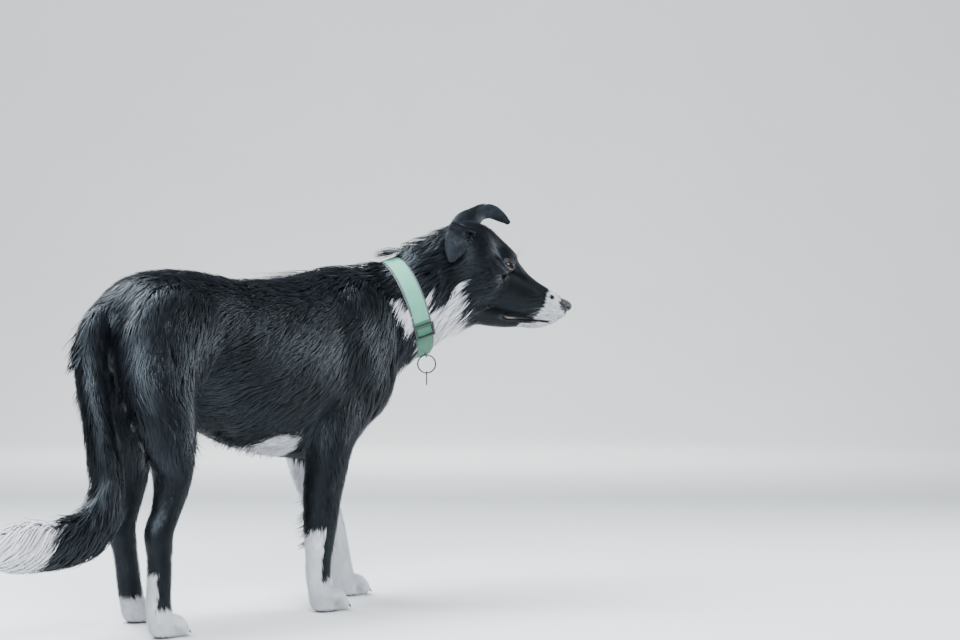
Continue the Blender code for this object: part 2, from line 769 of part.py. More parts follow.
def claws(name):
    """Four short claws that stand out of the toes of one paw."""
    x, y, turn, size = PAWS[name]
    c, s = math.cos(math.radians(turn)), math.sin(math.radians(turn))
    pieces = []
    for left, forward in TOES:
        rings = ((forward + 13, 10.5, 2.7), (forward + 21, 9.5, 2.2), (forward + 26.5, 5, 0.7))
        verts, faces = [], []
        for f, up, radius in rings:
            for k in range(6):
                a = 2 * math.pi * k / 6
                l = left * 1.03 + radius * math.cos(a)
                z = (up + radius * math.sin(a)) * size
                verts.append((np.array((x + (f * c - l * s) * size,
                                        y + (f * s + l * c) * size, z))) * MM)
        for i in range(2):
            for k in range(6):
                n = (k + 1) % 6
                faces.append((6 * i + k, 6 * i + n, 6 * i + 6 + n, 6 * i + 6 + k))
        faces.append(tuple(range(6))[::-1])
        faces.append(tuple(range(12, 18)))
        pieces.append((verts, faces))
    return gathered("claws", pieces)


def outward(obj):
    made = bmesh.new()
    made.from_mesh(obj.data)
    bmesh.ops.recalc_face_normals(made, faces=made.faces)
    made.to_mesh(obj.data)
    made.free()


def triangulated(obj):
    made = bmesh.new()
    made.from_mesh(obj.data)
    bmesh.ops.triangulate(made, faces=made.faces)
    made.to_mesh(obj.data)
    made.free()


def build_flesh(looks):
    """The whole dog in one skin, cut into its parts."""
    shapes, hollows = dog_shapes()

    def measure(points):
        return field(shapes, hollows, points)

    verts, faces = skinned(measure, (-0.50, -0.30, -0.012), (0.56, 0.14, 0.62), GRID)
    rough = mesh_object("rough", verts, faces)
    whole = mesh_object("whole", *max(loose_bodies(rough), key=lambda body: len(body[0])))
    bpy.data.objects.remove(rough)
    thinned(whole, BODY_TRIANGLES)
    floor = slab((0, 0, -20), (0, 0, 1), (1, 0, 0), 700, 400, 40)
    boolean(whole, gathered("floor", [floor]))
    groove = [r - GAP / MM for r in STRAP_INSIDE], [r + 12 for r in STRAP_INSIDE]
    boolean(whole, gathered("groove", [ring_band(*groove, STRAP_WIDTH / 2 + GAP / MM)]))
    for hand in (-1, 1):
        eye = on_head((EYE_AT[0], EYE_AT[1] * hand, EYE_AT[2]))
        socket = ball("socket", eye, EYE_RADIUS + GAP / MM, HEAD_TURN, (1, 1, 1), None, 20, 12)
        boolean(whole, socket)
    wide = [r + 2 * GAP / MM for r in NOSE_RADII]
    boolean(whole, ball("nose_seat", on_head(NOSE_AT), 1, HEAD_TURN, wide, None, 18, 12))
    boolean(whole, gathered("saw", cut_lines()))
    made = {}
    for name, (body, sides) in name_bodies(loose_bodies(whole)).items():
        pale = name in ("tail_tip", "forepaw_right", "forepaw_left", "foreleg_left")
        made[name] = mesh_object(name, body, sides, looks["white" if pale else "black"])
    bpy.data.objects.remove(whole)
    for name in PAWS:
        boolean(made[name], claws(name), "UNION")
    return made


def build_face(looks):
    made = []
    for hand, name in ((-1, "eye_right"), (1, "eye_left")):
        middle = on_head((EYE_AT[0], EYE_AT[1] * hand, EYE_AT[2]))
        made.append(ball(name, middle, EYE_RADIUS, HEAD_TURN, (1, 1, 1), looks["eye"], 14, 8))
    made.append(ball("nose", on_head(NOSE_AT), 1, HEAD_TURN, NOSE_RADII, looks["nose"], 14, 10))
    return made


def loop_spot():
    """Where the loop stands on the strap, along its foot and out of the strap."""
    angle = math.radians(LOOP_ANGLE)
    wide, tall = STRAP_INSIDE[0] + STRAP_THICK, STRAP_INSIDE[2] + STRAP_THICK
    out = unit((0, math.cos(angle) / wide, math.sin(angle) / tall))
    spot = on_neck(*(np.array((3, wide * math.cos(angle), tall * math.sin(angle))) + out * 0.6))
    down = NECK_TURN @ out
    side = np.array((math.cos(math.radians(42)), math.sin(math.radians(42)), 0))
    return spot, unit(side - down * (side @ down)), down


def build_collar(looks):
    """The strap, its slider and loop, and the ring with a plain tag."""
    outside = [r + STRAP_THICK for r in STRAP_INSIDE]
    strap = gathered("collar_strap", [ring_band(STRAP_INSIDE, outside, STRAP_WIDTH / 2)])
    strap.data.materials.append(looks["strap"])
    # The slider is a frame with a middle bar, flat on the strap.
    angle = math.radians(209)
    middle = on_neck(0, (outside[0] + 2.1) * math.cos(angle), (outside[2] + 2.1) * math.sin(angle))
    out = NECK_TURN @ np.array((0, math.cos(angle) / outside[0], math.sin(angle) / outside[2]))
    out, across = unit(out), NECK_TURN[:, 0]
    frame = gathered("collar_slider", [slab(middle, out, across, 16, 11, 2.4)])
    for shift in (-5, 5):
        hole = slab(middle + np.cross(out, across) * shift, out, across, 13.2, 3.4, 6)
        boolean(frame, gathered("hole", [hole]))
    frame.data.materials.append(looks["slider"])
    # The loop stands on the strap's underside, and the ring hangs in it.
    low, side, down = loop_spot()
    loop = gathered("collar_loop", [torus(low, side, down, LOOP_RADIUS, 1.2, 10, 6, 0.5)])
    loop.data.materials.append(looks["steel"])
    facing = np.array((math.cos(math.radians(-48)), math.sin(math.radians(-48)), 0))
    drop = low + down * LOOP_RADIUS - np.array((0, 0, RING_RADIUS - RING_WIRE - 1.2 - 0.4))
    ring = gathered("collar_ring", [torus(drop, facing, (0, 0, -1), RING_RADIUS, RING_WIRE)])
    ring.data.materials.append(looks["steel"])
    eye = drop - np.array((0, 0, RING_RADIUS - RING_WIRE - 0.4 + TAG_HOLE))
    hang = eye - np.array((0, 0, TAG_RADIUS - TAG_HOLE - 1.4))
    mesh = bpy.data.meshes.new("collar_tag")
    made = bmesh.new()
    bmesh.ops.create_cone(made, cap_ends=True, segments=20, radius1=TAG_RADIUS * MM,
                          radius2=TAG_RADIUS * MM, depth=1.6 * MM)
    made.to_mesh(mesh)
    made.free()
    tag = bpy.data.objects.new("collar_tag", mesh)
    bpy.context.scene.collection.objects.link(tag)
    spin = Matrix.Rotation(math.radians(-48), 4, "Z") @ Matrix.Rotation(math.radians(90), 4, "Y")
    mesh.transform(Matrix.Translation(Vector(hang) * MM) @ spin)
    hole = bpy.data.meshes.new("hole")
    made = bmesh.new()
    bmesh.ops.create_cone(made, cap_ends=True, segments=12, radius1=TAG_HOLE * MM,
                          radius2=TAG_HOLE * MM, depth=6 * MM)
    made.to_mesh(hole)
    made.free()
    punch = bpy.data.objects.new("hole", hole)
    bpy.context.scene.collection.objects.link(punch)
    hole.transform(Matrix.Translation(Vector(eye) * MM) @ spin)
    boolean(tag, punch)
    tag.data.materials.append(looks["steel"])
    return [strap, frame, loop, ring, tag]


def centred(objects):
    """Set the dog on the floor with the middle of its box over the origin."""
    corners = np.array([v.co[:] for obj in objects for v in obj.data.vertices])
    shift = -(corners.min(0) + corners.max(0)) / 2
    shift[2] = -corners[:, 2].min()
    stand = bpy.data.objects.new("dog", None)
    bpy.context.scene.collection.objects.link(stand)
    stand.location = shift
    for obj in objects:
        middle = np.array([v.co[:] for v in obj.data.vertices]).mean(0)
        obj.data.transform(Matrix.Translation(-Vector(middle)))
        obj.location = middle
        obj.parent = stand


def main():
    for obj in list(bpy.data.objects):
        bpy.data.objects.remove(obj)
    looks = {name: material(name) for name in COLOURS}
    objects = list(build_flesh(looks).values()) + build_face(looks) + build_collar(looks)
    for obj in objects:
        triangulated(obj)
        outward(obj)
        obj.data.shade_smooth()
        obj.data.set_sharp_from_angle(angle=math.radians(40))
    centred(objects)


main()
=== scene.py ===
"""The standing young dog, dressed: skin, coat, eyes, nose, claws and collar.

The form is the same as the part's own solids: the tables below are in
millimetres, in the builder's axes (+X forward along the trunk, +Y the dog's
left, +Z up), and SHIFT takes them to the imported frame. The solids reach to
the tips of the coat. The skin lies inside them by the coat's depth, which is
the last number of each row, and every lock of hair is a closed mesh.
"""

import math

import bmesh
import bpy
import numpy as np
from mathutils import Matrix, Vector


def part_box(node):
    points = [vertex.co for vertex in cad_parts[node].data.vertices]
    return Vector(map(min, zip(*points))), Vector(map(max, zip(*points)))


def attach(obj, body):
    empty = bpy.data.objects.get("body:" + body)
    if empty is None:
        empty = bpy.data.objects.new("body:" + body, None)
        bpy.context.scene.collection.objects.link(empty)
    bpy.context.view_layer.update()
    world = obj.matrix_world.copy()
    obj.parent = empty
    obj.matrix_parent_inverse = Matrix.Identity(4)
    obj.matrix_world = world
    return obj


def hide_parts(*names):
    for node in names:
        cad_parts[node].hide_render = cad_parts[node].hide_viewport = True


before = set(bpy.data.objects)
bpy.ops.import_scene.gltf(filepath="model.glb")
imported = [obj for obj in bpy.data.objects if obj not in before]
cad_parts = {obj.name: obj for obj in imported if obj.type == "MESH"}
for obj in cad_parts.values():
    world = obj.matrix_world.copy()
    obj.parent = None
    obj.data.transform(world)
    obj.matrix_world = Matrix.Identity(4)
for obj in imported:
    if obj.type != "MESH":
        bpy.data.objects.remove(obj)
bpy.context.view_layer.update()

MM = 0.001
FAR = 0.08
RNG = np.random.default_rng(7)

# The middle between the eyes, and how the head is turned.
HEAD_AT = (420.6, -122.1, 505.0)
HEAD_YAW = -34.0
HEAD_PITCH = -26.0

# The middle of the collar, and how the neck runs through it.
COLLAR_AT = (289.6, -33.4, 442.2)
NECK_YAW = -29.0
NECK_PITCH = 19.0
STRAP_WIDTH = 25.0
STRAP_THICK = 3.0
STRAP_INSIDE = (67.0, 74.0, 76.0)

EYE_AT = (-2.0, 25.0, 0.0)
EYE_RADIUS = 10.5
NOSE_AT = (111.0, 0.0, -10.5)
NOSE_RADII = (12.5, 12.5, 9.5)
LOOP_ANGLE = 254.0
LOOP_RADIUS = 5.0
LOOP_WIRE = 1.2
LINING_WIDTH = STRAP_WIDTH + 5
STITCHES = 150
RING_RADIUS = 13.5
RING_WIRE = 1.1
TAG_RADIUS = 11.0
TAG_HOLE = 2.6

# Each row of a limb: x, y, z, half width, rise, drop, depth of the coat.
TRUNK = (
    (250, -2, 376, 36, 58, 42, 14),
    (225, 0, 370, 58, 98, 80, 14),
    (190, 0, 370, 73, 126, 130, 13),
    (140, 0, 364, 82, 129, 146, 12),
    (80, 0, 358, 86, 124, 138, 10),
    (20, 0, 358, 85, 121, 127, 10),
    (-40, 0, 368, 80, 115, 113, 10),
    (-85, 0, 386, 73, 102, 93, 10),
    (-120, 0, 398, 70, 92, 80, 10),
    (-155, 0, 404, 68, 84, 76, 10),
    (-185, 0, 405, 62, 77, 78, 11),
    (-208, 0, 402, 50, 66, 70, 12),
    (-222, 0, 398, 32, 50, 54, 12),
)
NECK = (
    (381, -97, 489, 44, 82, 56, 12),
    (360, -82, 478, 50, 92, 66, 16),
    (338, -66, 466, 57, 92, 71, 20),
    (316, -52, 456, 63, 92, 70, 22),
    (302, -42, 449, 65.5, 87, 74, 19),
    (293, -36, 444, 66.5, 78, 75, 14),
    (283, -29, 439, 67.5, 76, 77, 12),
    (271, -22, 433, 69.5, 82, 83, 18),
    (256, -14, 427, 71, 88, 89, 20),
    (222, -2, 412, 72, 95, 98, 18),
    (172, 0, 388, 74, 104, 122, 14),
)
RIGHT_FORELEG = (
    (168, -44, 330, 26, 36, 36, 12),
    (140, -52, 288, 30, 42, 42, 11),
    (118, -55, 250, 30, 38, 40, 10),
    (110, -54, 210, 28, 32, 36, 9),
    (104, -52, 165, 25, 27, 32, 8),
    (99, -51, 120, 22, 24, 26, 6),
    (97, -50, 85, 19, 20, 20, 4),
    (96, -50, 55, 18, 18, 19, 3.5),
    (101, -50, 30, 18, 18, 18, 3.5),
)
LEFT_FORELEG = (
    (186, 44, 330, 26, 36, 36, 12),
    (168, 52, 288, 30, 42, 42, 11),
    (166, 55, 250, 30, 38, 38, 10),
    (176, 55, 208, 28, 32, 35, 9),
    (192, 54, 165, 25, 27, 31, 8),
    (211, 53, 122, 22, 24, 26, 6),
    (227, 52, 85, 19, 20, 20, 4),
    (236, 52, 55, 18, 18, 19, 3.5),
    (243, 52, 30, 18, 18, 18, 3.5),
)
RIGHT_HIND_LEG = (
    (-178, -42, 400, 26, 46, 46, 11),
    (-190, -52, 365, 31, 56, 56, 12),
    (-198, -59, 330, 34, 56, 58, 13),
    (-198, -66, 295, 33, 50, 54, 14),
    (-192, -72, 260, 30, 40, 44, 14),
    (-188, -75, 228, 26, 31, 33, 12),
    (-192, -77, 195, 21, 23, 27, 9),
    (-203, -78, 160, 17, 17, 22, 6),
    (-212, -78, 138, 16, 17, 24, 5),
    (-212, -78, 115, 15.5, 16, 20, 4.5),
    (-212, -77, 80, 16, 16, 18, 4),
    (-213, -76, 50, 16.5, 16, 18, 3.5),
    (-210, -75, 28, 17, 17, 18, 3.5),
)
LEFT_HIND_LEG = (
    (-178, 42, 400, 26, 46, 46, 11),
    (-184, 50, 365, 31, 56, 56, 12),
    (-180, 56, 330, 34, 56, 58, 13),
    (-172, 60, 295, 33, 50, 52, 14),
    (-160, 63, 260, 30, 40, 40, 14),
    (-150, 65, 228, 26, 31, 32, 12),
    (-150, 65, 195, 22, 23, 26, 9),
    (-157, 64, 160, 18, 17, 22, 6),
    (-164, 64, 136, 17, 17, 24, 5),
    (-161, 64, 112, 16.5, 16, 20, 4.5),
    (-156, 64, 80, 17, 16, 18, 4),
    (-152, 64, 50, 17, 16, 18, 3.5),
    (-147, 64, 28, 17, 17, 18, 3.5),
)
TAIL = (
    (-222, 0, 430, 20, 22, 22, 10),
    (-248, -3, 417, 20, 27, 21, 11),
    (-267, -11, 390, 19, 29, 18, 12),
    (-279, -24, 345, 20, 29, 19, 13),
    (-282, -34, 300, 20, 23, 20, 14),
    (-279, -42, 250, 20, 24, 23, 15),
    (-276, -48, 205, 20, 25, 25, 16),
    (-287, -51, 171, 22, 26, 36, 17),
    (-314, -52, 151, 24, 27, 43, 18),
    (-353, -51, 143, 25, 29, 43, 19),
    (-395, -52, 139, 25, 34, 39, 20),
    (-430, -52, 135, 22, 33, 34, 20),
    (-458, -52, 131, 12, 18, 20, 12),
)
# x, y of each paw on the floor, its turn in degrees and its size.
PAWS = {
    "forepaw_right": (113, -50, 0, 1.0),
    "forepaw_left": (256, 52, 0, 1.0),
    "hind_foot_right": (-200, -75, 6, 0.94),
    "hind_foot_left": (-136, 64, 0, 0.94),
}
TOES = ((-15.5, 7), (-5.5, 15), (5.5, 15), (15.5, 7))

# The head's own rows: forward, left, up from the middle between the eyes.
NOSE_BRIDGE = (
    (106, 0, -11, 11, 8, 12, 2),
    (84, 0, -9, 11.5, 9, 14, 2),
    (66, 0, -8, 12, 9, 14, 2),
    (47, 0, -5, 13, 9, 14, 2),
    (30, 0, 0, 15, 9, 14, 2.5),
    (17, 0, 6, 18, 9, 14, 3),
    (6, 0, 11, 20, 9, 14, 3),
)
UPPER_MUZZLE = (
    (107, 0, -21, 14, 14, 15, 2),
    (94, 0, -22, 18, 19, 21, 2.5),
    (68, 0, -26, 22.5, 23, 27, 3),
    (38, 0, -29, 27, 28, 34, 3),
    (8, 0, -31, 33, 31, 42, 3.5),
    (-30, 0, -28, 42, 30, 48, 5),
)
LOWER_JAW = (
    (104, 0, -38, 9, 8, 8, 2),
    (92, 0, -45, 13, 10, 12, 2.5),
    (76, 0, -53, 15, 12, 15, 3),
    (58, 0, -58, 17, 14, 16, 3),
    (30, 0, -68, 21, 16, 20, 3),
    (-4, 0, -77, 28, 20, 23, 4),
    (-40, 0, -80, 34, 26, 26, 7),
)
RIGHT_EAR = (
    (-86, -26, 5, 19, 10, 10, 4),
    (-90, -38, 13, 21, 6, 6, 3),
    (-94, -50, 15, 21.5, 4, 4, 1.4),
    (-96, -59, 6, 21.5, 3.7, 3.7, 1.1),
    (-96, -62, -9, 20, 3.5, 3.5, 1.1),
    (-94, -61, -24, 15, 3.3, 3.3, 1.1),
    (-91, -58, -38, 5.5, 2.8, 2.8, 1),
)
LEFT_EAR = (
    (-78, 28, 14, 25, 10, 10, 4),
    (-79, 35, 36, 21, 7.5, 7.5, 3),
    (-70, 40, 54, 16.5, 4.8, 4.8, 1.6),
    (-61, 45, 68, 14.5, 4, 4, 1.2),
    (-46, 49, 76, 12.5, 3.8, 3.8, 1.1),
    (-29, 53, 76, 9.5, 3.5, 3.5, 1.1),
    (-13, 56, 74, 4.5, 2.9, 2.9, 1),
)
# The way each ear's width lies, row by row, in the head's own directions.
RIGHT_EAR_SIDE = ((1, 0, 0.1),) * 7
LEFT_EAR_SIDE = (
    (1, 0, 0),
    (1, 0.1, 0),
    (0.9, 0.3, -0.1),
    (0.7, 0.5, -0.5),
    (0.4, 0.6, -0.9),
    (0.2, 0.6, -1),
    (0.1, 0.6, -1),
)

def unit(v):
    v = np.asarray(v, float)
    return v / np.maximum(np.linalg.norm(v, axis=-1, keepdims=True), 1e-12)


def turned(yaw, pitch):
    """Columns are forward, left and up after a pitch and then a yaw."""
    cy, sy = math.cos(math.radians(yaw)), math.sin(math.radians(yaw))
    cp, sp = math.cos(math.radians(pitch)), math.sin(math.radians(pitch))
    spin = np.array(((cy, -sy, 0), (sy, cy, 0), (0, 0, 1)))
    nod = np.array(((cp, 0, -sp), (0, 1, 0), (sp, 0, cp)))
    return spin @ nod


HEAD_TURN = turned(HEAD_YAW, HEAD_PITCH)
NECK_TURN = turned(NECK_YAW, NECK_PITCH)


def on_head(point):
    return np.array(HEAD_AT) + np.asarray(point, float) @ HEAD_TURN.T


def eye_spot(hand):
    """The middle of the right (-1) or left (1) eye, in the head's own axes."""
    return np.array((EYE_AT[0], EYE_AT[1] * hand, EYE_AT[2]))


def on_neck(point):
    return np.array(COLLAR_AT) + np.asarray(point, float) @ NECK_TURN.T


def smooth_curve(rows, count):
    """A curve through the rows, read at even steps along its length."""
    knots = np.r_[0, np.cumsum(np.linalg.norm(np.diff(rows[:, :3], axis=0), axis=1))]
    slope = np.empty_like(rows)
    slope[1:-1] = (rows[2:] - rows[:-2]) / (knots[2:] - knots[:-2])[:, None]
    slope[0] = (rows[1] - rows[0]) / (knots[1] - knots[0])
    slope[-1] = (rows[-1] - rows[-2]) / (knots[-1] - knots[-2])
    at = np.linspace(0, knots[-1], count)
    i = np.clip(np.searchsorted(knots, at, side="right") - 1, 0, len(rows) - 2)
    gap = (knots[i + 1] - knots[i])[:, None]
    t = (at - knots[i])[:, None] / gap
    start = rows[i] * (1 + 2 * t) * (1 - t) ** 2 + slope[i] * gap * t * (1 - t) ** 2
    end = rows[i + 1] * t * t * (3 - 2 * t) + slope[i + 1] * gap * t * t * (t - 1)
    return start + end


NECK_FORWARD, NECK_LEFT, _ = NECK_TURN.T


class Limb:
    """A rounded body along a curve, which knows its coat and its lie."""

    def __init__(self, name, rows, side=(0, 1, 0), blend=12.0, cup=0.0):
        rows = np.asarray(rows, float).copy()
        rows[:, :7] *= MM
        side = np.broadcast_to(np.asarray(side, float), (len(rows), 3))
        length = np.linalg.norm(np.diff(rows[:, :3], axis=0), axis=1).sum()
        count = int(np.clip(length / 0.006, 8, 70))
        curve = smooth_curve(np.c_[rows[:, :7], side], count)
        self.name = name
        self.middle = curve[:, :3]
        self.size = np.maximum(curve[:, 3:6], 0.0005)
        self.coat = curve[:, 6]
        self.along = unit(np.gradient(self.middle, axis=0))
        across = curve[:, 7:] - self.along * (curve[:, 7:] * self.along).sum(1, keepdims=True)
        self.side = unit(across)
        self.up = np.cross(self.side, self.along)
        self.blend = blend * MM
        self.cup = cup
        self.step = np.linalg.norm(np.diff(self.middle, axis=0), axis=1).mean()
        reach = self.size.max() + self.blend + 0.02
        self.low, self.high = self.middle.min(0) - reach, self.middle.max(0) + reach

    def place(self, points):
        """Row number along the limb, and the axes there."""
        best = np.empty(len(points), int)
        for i in range(0, len(points), 20000):
            near = (self.middle ** 2).sum(1)[None] - 2 * points[i:i + 20000] @ self.middle.T
            best[i:i + 20000] = near.argmin(1)
        offset = ((points - self.middle[best]) * self.along[best]).sum(1) / self.step
        at = np.clip(best + np.clip(offset, -1, 1), 0, len(self.middle) - 1)
        j = np.minimum(at.astype(int), len(self.middle) - 2)
        f = (at - j)[:, None]
        tables = (self.middle, self.along, self.side, self.up, self.size, self.coat[:, None])
        return at, [a[j] * (1 - f) + a[j + 1] * f for a in tables]

    def sample(self, points):
        at, (middle, along, side, up, size, coat) = self.place(points)
        away = points - middle
        s, u, w = ((away * axis).sum(1) for axis in (side, up, along))
        u = u - self.cup * s * s / size[:, 0]
        a = size[:, 0]
        b = np.where(u > 0, size[:, 1], size[:, 2])
        c = size.min(1)
        w = np.where((at <= 0) | (at >= len(self.middle) - 1), w, 0)
        k0 = np.sqrt((s / a) ** 2 + (u / b) ** 2 + (w / c) ** 2)
        k1 = np.sqrt((s / a ** 2) ** 2 + (u / b ** 2) ** 2 + (w / c ** 2) ** 2)
        return np.maximum(k0 * (k0 - 1) / np.maximum(k1, 1e-9), -c), coat[:, 0], along

    def unwrap(self, points):
        """Along and round the limb, each from 0 to 1, for a flat map."""
        at, (middle, along, side, up, size, coat) = self.place(points)
        away = points - middle
        turn = np.arctan2((away * side).sum(1) / size[:, 0], (away * up).sum(1) / size[:, 1])
        return np.c_[at / (len(self.middle) - 1), turn / (2 * math.pi) + 0.5]


class Lump:
    """An ellipsoid. With no coat of its own it keeps that of its neighbours."""

    def __init__(self, middle, radii, blend=12.0, axes=None, coat=None, lie=None):
        self.name = None
        self.middle = np.asarray(middle, float) * MM
        self.radii = np.asarray(radii, float) * MM
        self.axes = np.eye(3) if axes is None else np.asarray(axes, float)
        self.blend = blend * MM
        self.coat = coat
        self.lie = lie
        reach = self.radii.max() + self.blend + 0.02
        self.low, self.high = self.middle - reach, self.middle + reach

    def sample(self, points):
        away = (points - self.middle) @ self.axes.T
        k0 = np.linalg.norm(away / self.radii, axis=1)
        k1 = np.linalg.norm(away / self.radii ** 2, axis=1)
        found = np.maximum(k0 * (k0 - 1) / np.maximum(k1, 1e-9), -self.radii.min())
        if self.coat is None:
            return found, None, None
        coat = np.full(len(points), self.coat * MM)
        return found, coat, np.tile(np.asarray(self.lie, float), (len(points), 1))


def read(points, full=False):
    """Distance to the coat's outside and its depth; if full, also its lie and nearest limb."""
    total = np.full(len(points), FAR)
    coat = np.full(len(points), 0.008)
    lie = np.tile((-1.0, 0.0, 0.0), (len(points), 1))
    owner = np.zeros(len(points), int)
    for number, shape in enumerate(SHAPES + HOLLOWS):
        at = np.flatnonzero(((points > shape.low) & (points < shape.high)).all(1))
        if not len(at):
            continue
        b, deep, way = shape.sample(points[at])
        a, k = total[at], shape.blend
        if number >= len(SHAPES):
            total[at] = smooth_max(a, -b, k)
            continue
        h = np.clip(0.5 + 0.5 * (a - b) / k, 0, 1)
        total[at] = a * (1 - h) + b * h - k * h * (1 - h)
        if deep is None:
            continue
        coat[at] = coat[at] * (1 - h) + deep * h
        if full:
            lie[at] = lie[at] * (1 - h[:, None]) + way * h[:, None]
            if shape.name:
                owner[at] = np.where(h > 0.5, number, owner[at])
    return (total, coat, lie, owner) if full else (total, coat)


def head_limb(name, rows, side=(0, 1, 0), blend=10.0, cup=0.0):
    rows = np.asarray(rows, float).copy()
    rows[:, :3] = on_head(rows[:, :3])
    return Limb(name, rows, np.asarray(side, float) @ HEAD_TURN.T, blend, cup)


def head_lump(middle, radii, blend=10.0, coat=None, lie=(-1, 0, 0)):
    return Lump(on_head(middle), radii, blend, HEAD_TURN.T, coat, HEAD_TURN @ unit(lie))


def paw_spot(paw):
    """A way to place points of a paw: forward, left and up from its middle."""
    x, y, turn, size = paw
    c, s = math.cos(math.radians(turn)), math.sin(math.radians(turn))

    def at(forward, left, up):
        f, l = forward * size, left * size
        return x + f * c - l * s, y + f * s + l * c, up * size

    return at, c, s


def paw_shapes(name, paw):
    """A pad with four toes side by side."""
    size = paw[3]
    at, c, s = paw_spot(paw)
    axes = ((c, s, 0), (-s, c, 0), (0, 0, 1))
    way = (c * 0.7, s * 0.7, -0.7)
    shapes = [
        Lump(at(-9, 0, 16), np.array((19, 19, 17)) * size, 8, axes, 3, way),
        Lump(at(4, 0, 8), np.array((19, 17, 10)) * size, 6, axes, 2.5, way),
    ]
    for left, forward in TOES:
        rows = (
            (*at(forward - 21, left * 0.7, 27), 8, 9, 8, 3),
            (*at(forward - 6, left * 0.95, 25), 8.6, 9, 9, 2.6),
            (*at(forward + 5, left, 19), 8.6, 9, 9, 2.2),
            (*at(forward + 12, left * 1.02, 11), 8, 8, 8.5, 1.8),
        )
        rows = [(*r[:3], *(v * size for v in r[3:])) for r in rows]
        shapes.append(Limb(name, rows, (s, -c, 0), 4.5))
    return shapes


def dog_shapes():
    shapes = [
        Limb("trunk", TRUNK, blend=30),
        Limb("neck", NECK, tuple(NECK_LEFT), 26),
        Lump((214, -4, 346), (44, 42, 56), 26, None, 14, (-0.1, 0, -1)),
    ]
    for hand in (-1, 1):
        shapes += [
            Lump((180, 48 * hand, 380), (54, 34, 92), 30, None, 10, (-0.55, 0, -0.85)),
            Lump((196, 40 * hand, 322), (36, 33, 44), 26, None, 11, (-0.3, 0, -0.95)),
            Lump((-172, 44 * hand, 390), (66, 36, 74), 28, None, 11, (-0.7, 0, -0.7)),
            Lump((-218, 43 * hand, 362), (36, 29, 60), 22, None, 15, (-0.35, 0, -0.95)),
        ]
    shapes.append(Lump((-234, 0, 424), (26, 24, 22), 20))
    for name, rows in (("foreleg_right", RIGHT_FORELEG), ("foreleg_left", LEFT_FORELEG),
                       ("hind_leg_right", RIGHT_HIND_LEG), ("hind_leg_left", LEFT_HIND_LEG)):
        shapes.append(Limb(name, rows, (0, -1, 0), 26))
    for name, paw in PAWS.items():
        shapes += paw_shapes(name, paw)
    shapes += [
        Limb("tail", TAIL, blend=4),
        head_lump((-57, 0, 2), (52, 46, 42), 14, 4.5),
        head_lump((-15, 0, 8), (26, 32, 24), 12, 3, (-1, 0, 0.2)),
        head_limb("bridge", NOSE_BRIDGE, blend=9),
        head_limb("muzzle", UPPER_MUZZLE, blend=10),
        head_limb("jaw", LOWER_JAW, blend=8),
    ]
    for hand in (-1, 1):
        shapes += [
            head_lump((-38, 32 * hand, -32), (38, 19, 38), 14, 4, (-1, 0.2 * hand, -0.35)),
            head_lump((-28, 36 * hand, -12), (32, 9, 11), 10, 3, (-1, 0, -0.1)),
            head_lump((-4, 20 * hand, 15), (13, 11, 8.5), 9, 2.2, (-1, 0, 0.5)),
            head_lump(eye_spot(hand), (EYE_RADIUS + 1.6,) * 3, 7, 0.5, (-1, 0, -0.2)),
        ]
    shapes += [
        head_limb("ear_right", RIGHT_EAR, RIGHT_EAR_SIDE, 6, -0.10),
        head_limb("ear_left", LEFT_EAR, LEFT_EAR_SIDE, 7, 0.10),
    ]
    hollows = [Lump((-82, 104 * hand, 302), (46, 32, 52), 22) for hand in (-1, 1)]
    return shapes, hollows


SHAPES, HOLLOWS = dog_shapes()
NAMES = np.array([shape.name or "" for shape in SHAPES])


def slope_of(measure, points, reach=0.0004):
    corners = np.array(((1, -1, -1), (-1, -1, 1), (-1, 1, -1), (1, 1, 1)), float)
    total = sum(c * measure(points + c * reach)[:, None] for c in corners)
    return total / (4 * reach)


def coat_outside(points):
    return read(points)[0]


def head_local(points):
    return (points - np.array(HEAD_AT) * MM) @ HEAD_TURN / MM


def neck_local(points):
    return (points - np.array(COLLAR_AT) * MM) @ NECK_TURN / MM


def smooth_max(a, b, k):
    h = np.clip(0.5 - 0.5 * (a - b) / k, 0, 1)
    return a * (1 - h) + b * h + k * h * (1 - h)


def track(points, path):
    """Distance to a path of points, for a groove or a fold."""
    path = np.asarray(path, float)
    best = np.full(len(points), 1e9)
    for a, b in zip(path[:-1], path[1:]):
        run = b - a
        t = np.clip(((points - a) @ run) / (run @ run), 0, 1)[:, None]
        best = np.minimum(best, np.linalg.norm(points - a - run * t, axis=1))
    return best


# The skin's depth below the coat's tips, as a share of the coat's depth.
SKIN_DEPTH = 0.86
# The skin's two grids, in metres: their corners and steps, and how far they overlap.
HEAD_BOX = (0.22, -0.28, 0.33), (0.56, 0.10, 0.63)
BODY_BOX = (-0.50, -0.14, -0.012), (0.40, 0.13, 0.58)
HEAD_STEP = 0.0015
BODY_STEP = 0.0038
SEAM = 0.003
# The lids: lid line tilt, half length, upper and lower opening, in mm.
LID_TILT = 17.0
LID_TURN = 58.0
LID_HALF = 9.3
LID_UPPER = 4.6
LID_LOWER = 3.8
MOUTH = (
    (27, 16.5, -73),
    (34, 16.5, -73.5),
    (50, 15.0, -66),
    (70, 12.5, -57),
    (88, 10.0, -50),
    (100, 5.5, -45),
    (104, 0, -43.5),
)


def mouth_gap(local, lift=0.0, flat=0.35):
    """Distance from the mouth's line on either side, measured mostly in the side view."""
    seen = np.c_[local[:, 0], abs(local[:, 1]) * flat, local[:, 2] - lift]
    return track(seen, np.array(MOUTH) * (1, flat, 1))


def lip_gap(local, spare):
    """The same, with spare room kept where the lip turns at the mouth's corner."""
    return mouth_gap(local) - spare * step_between(66, 50, local[:, 0])


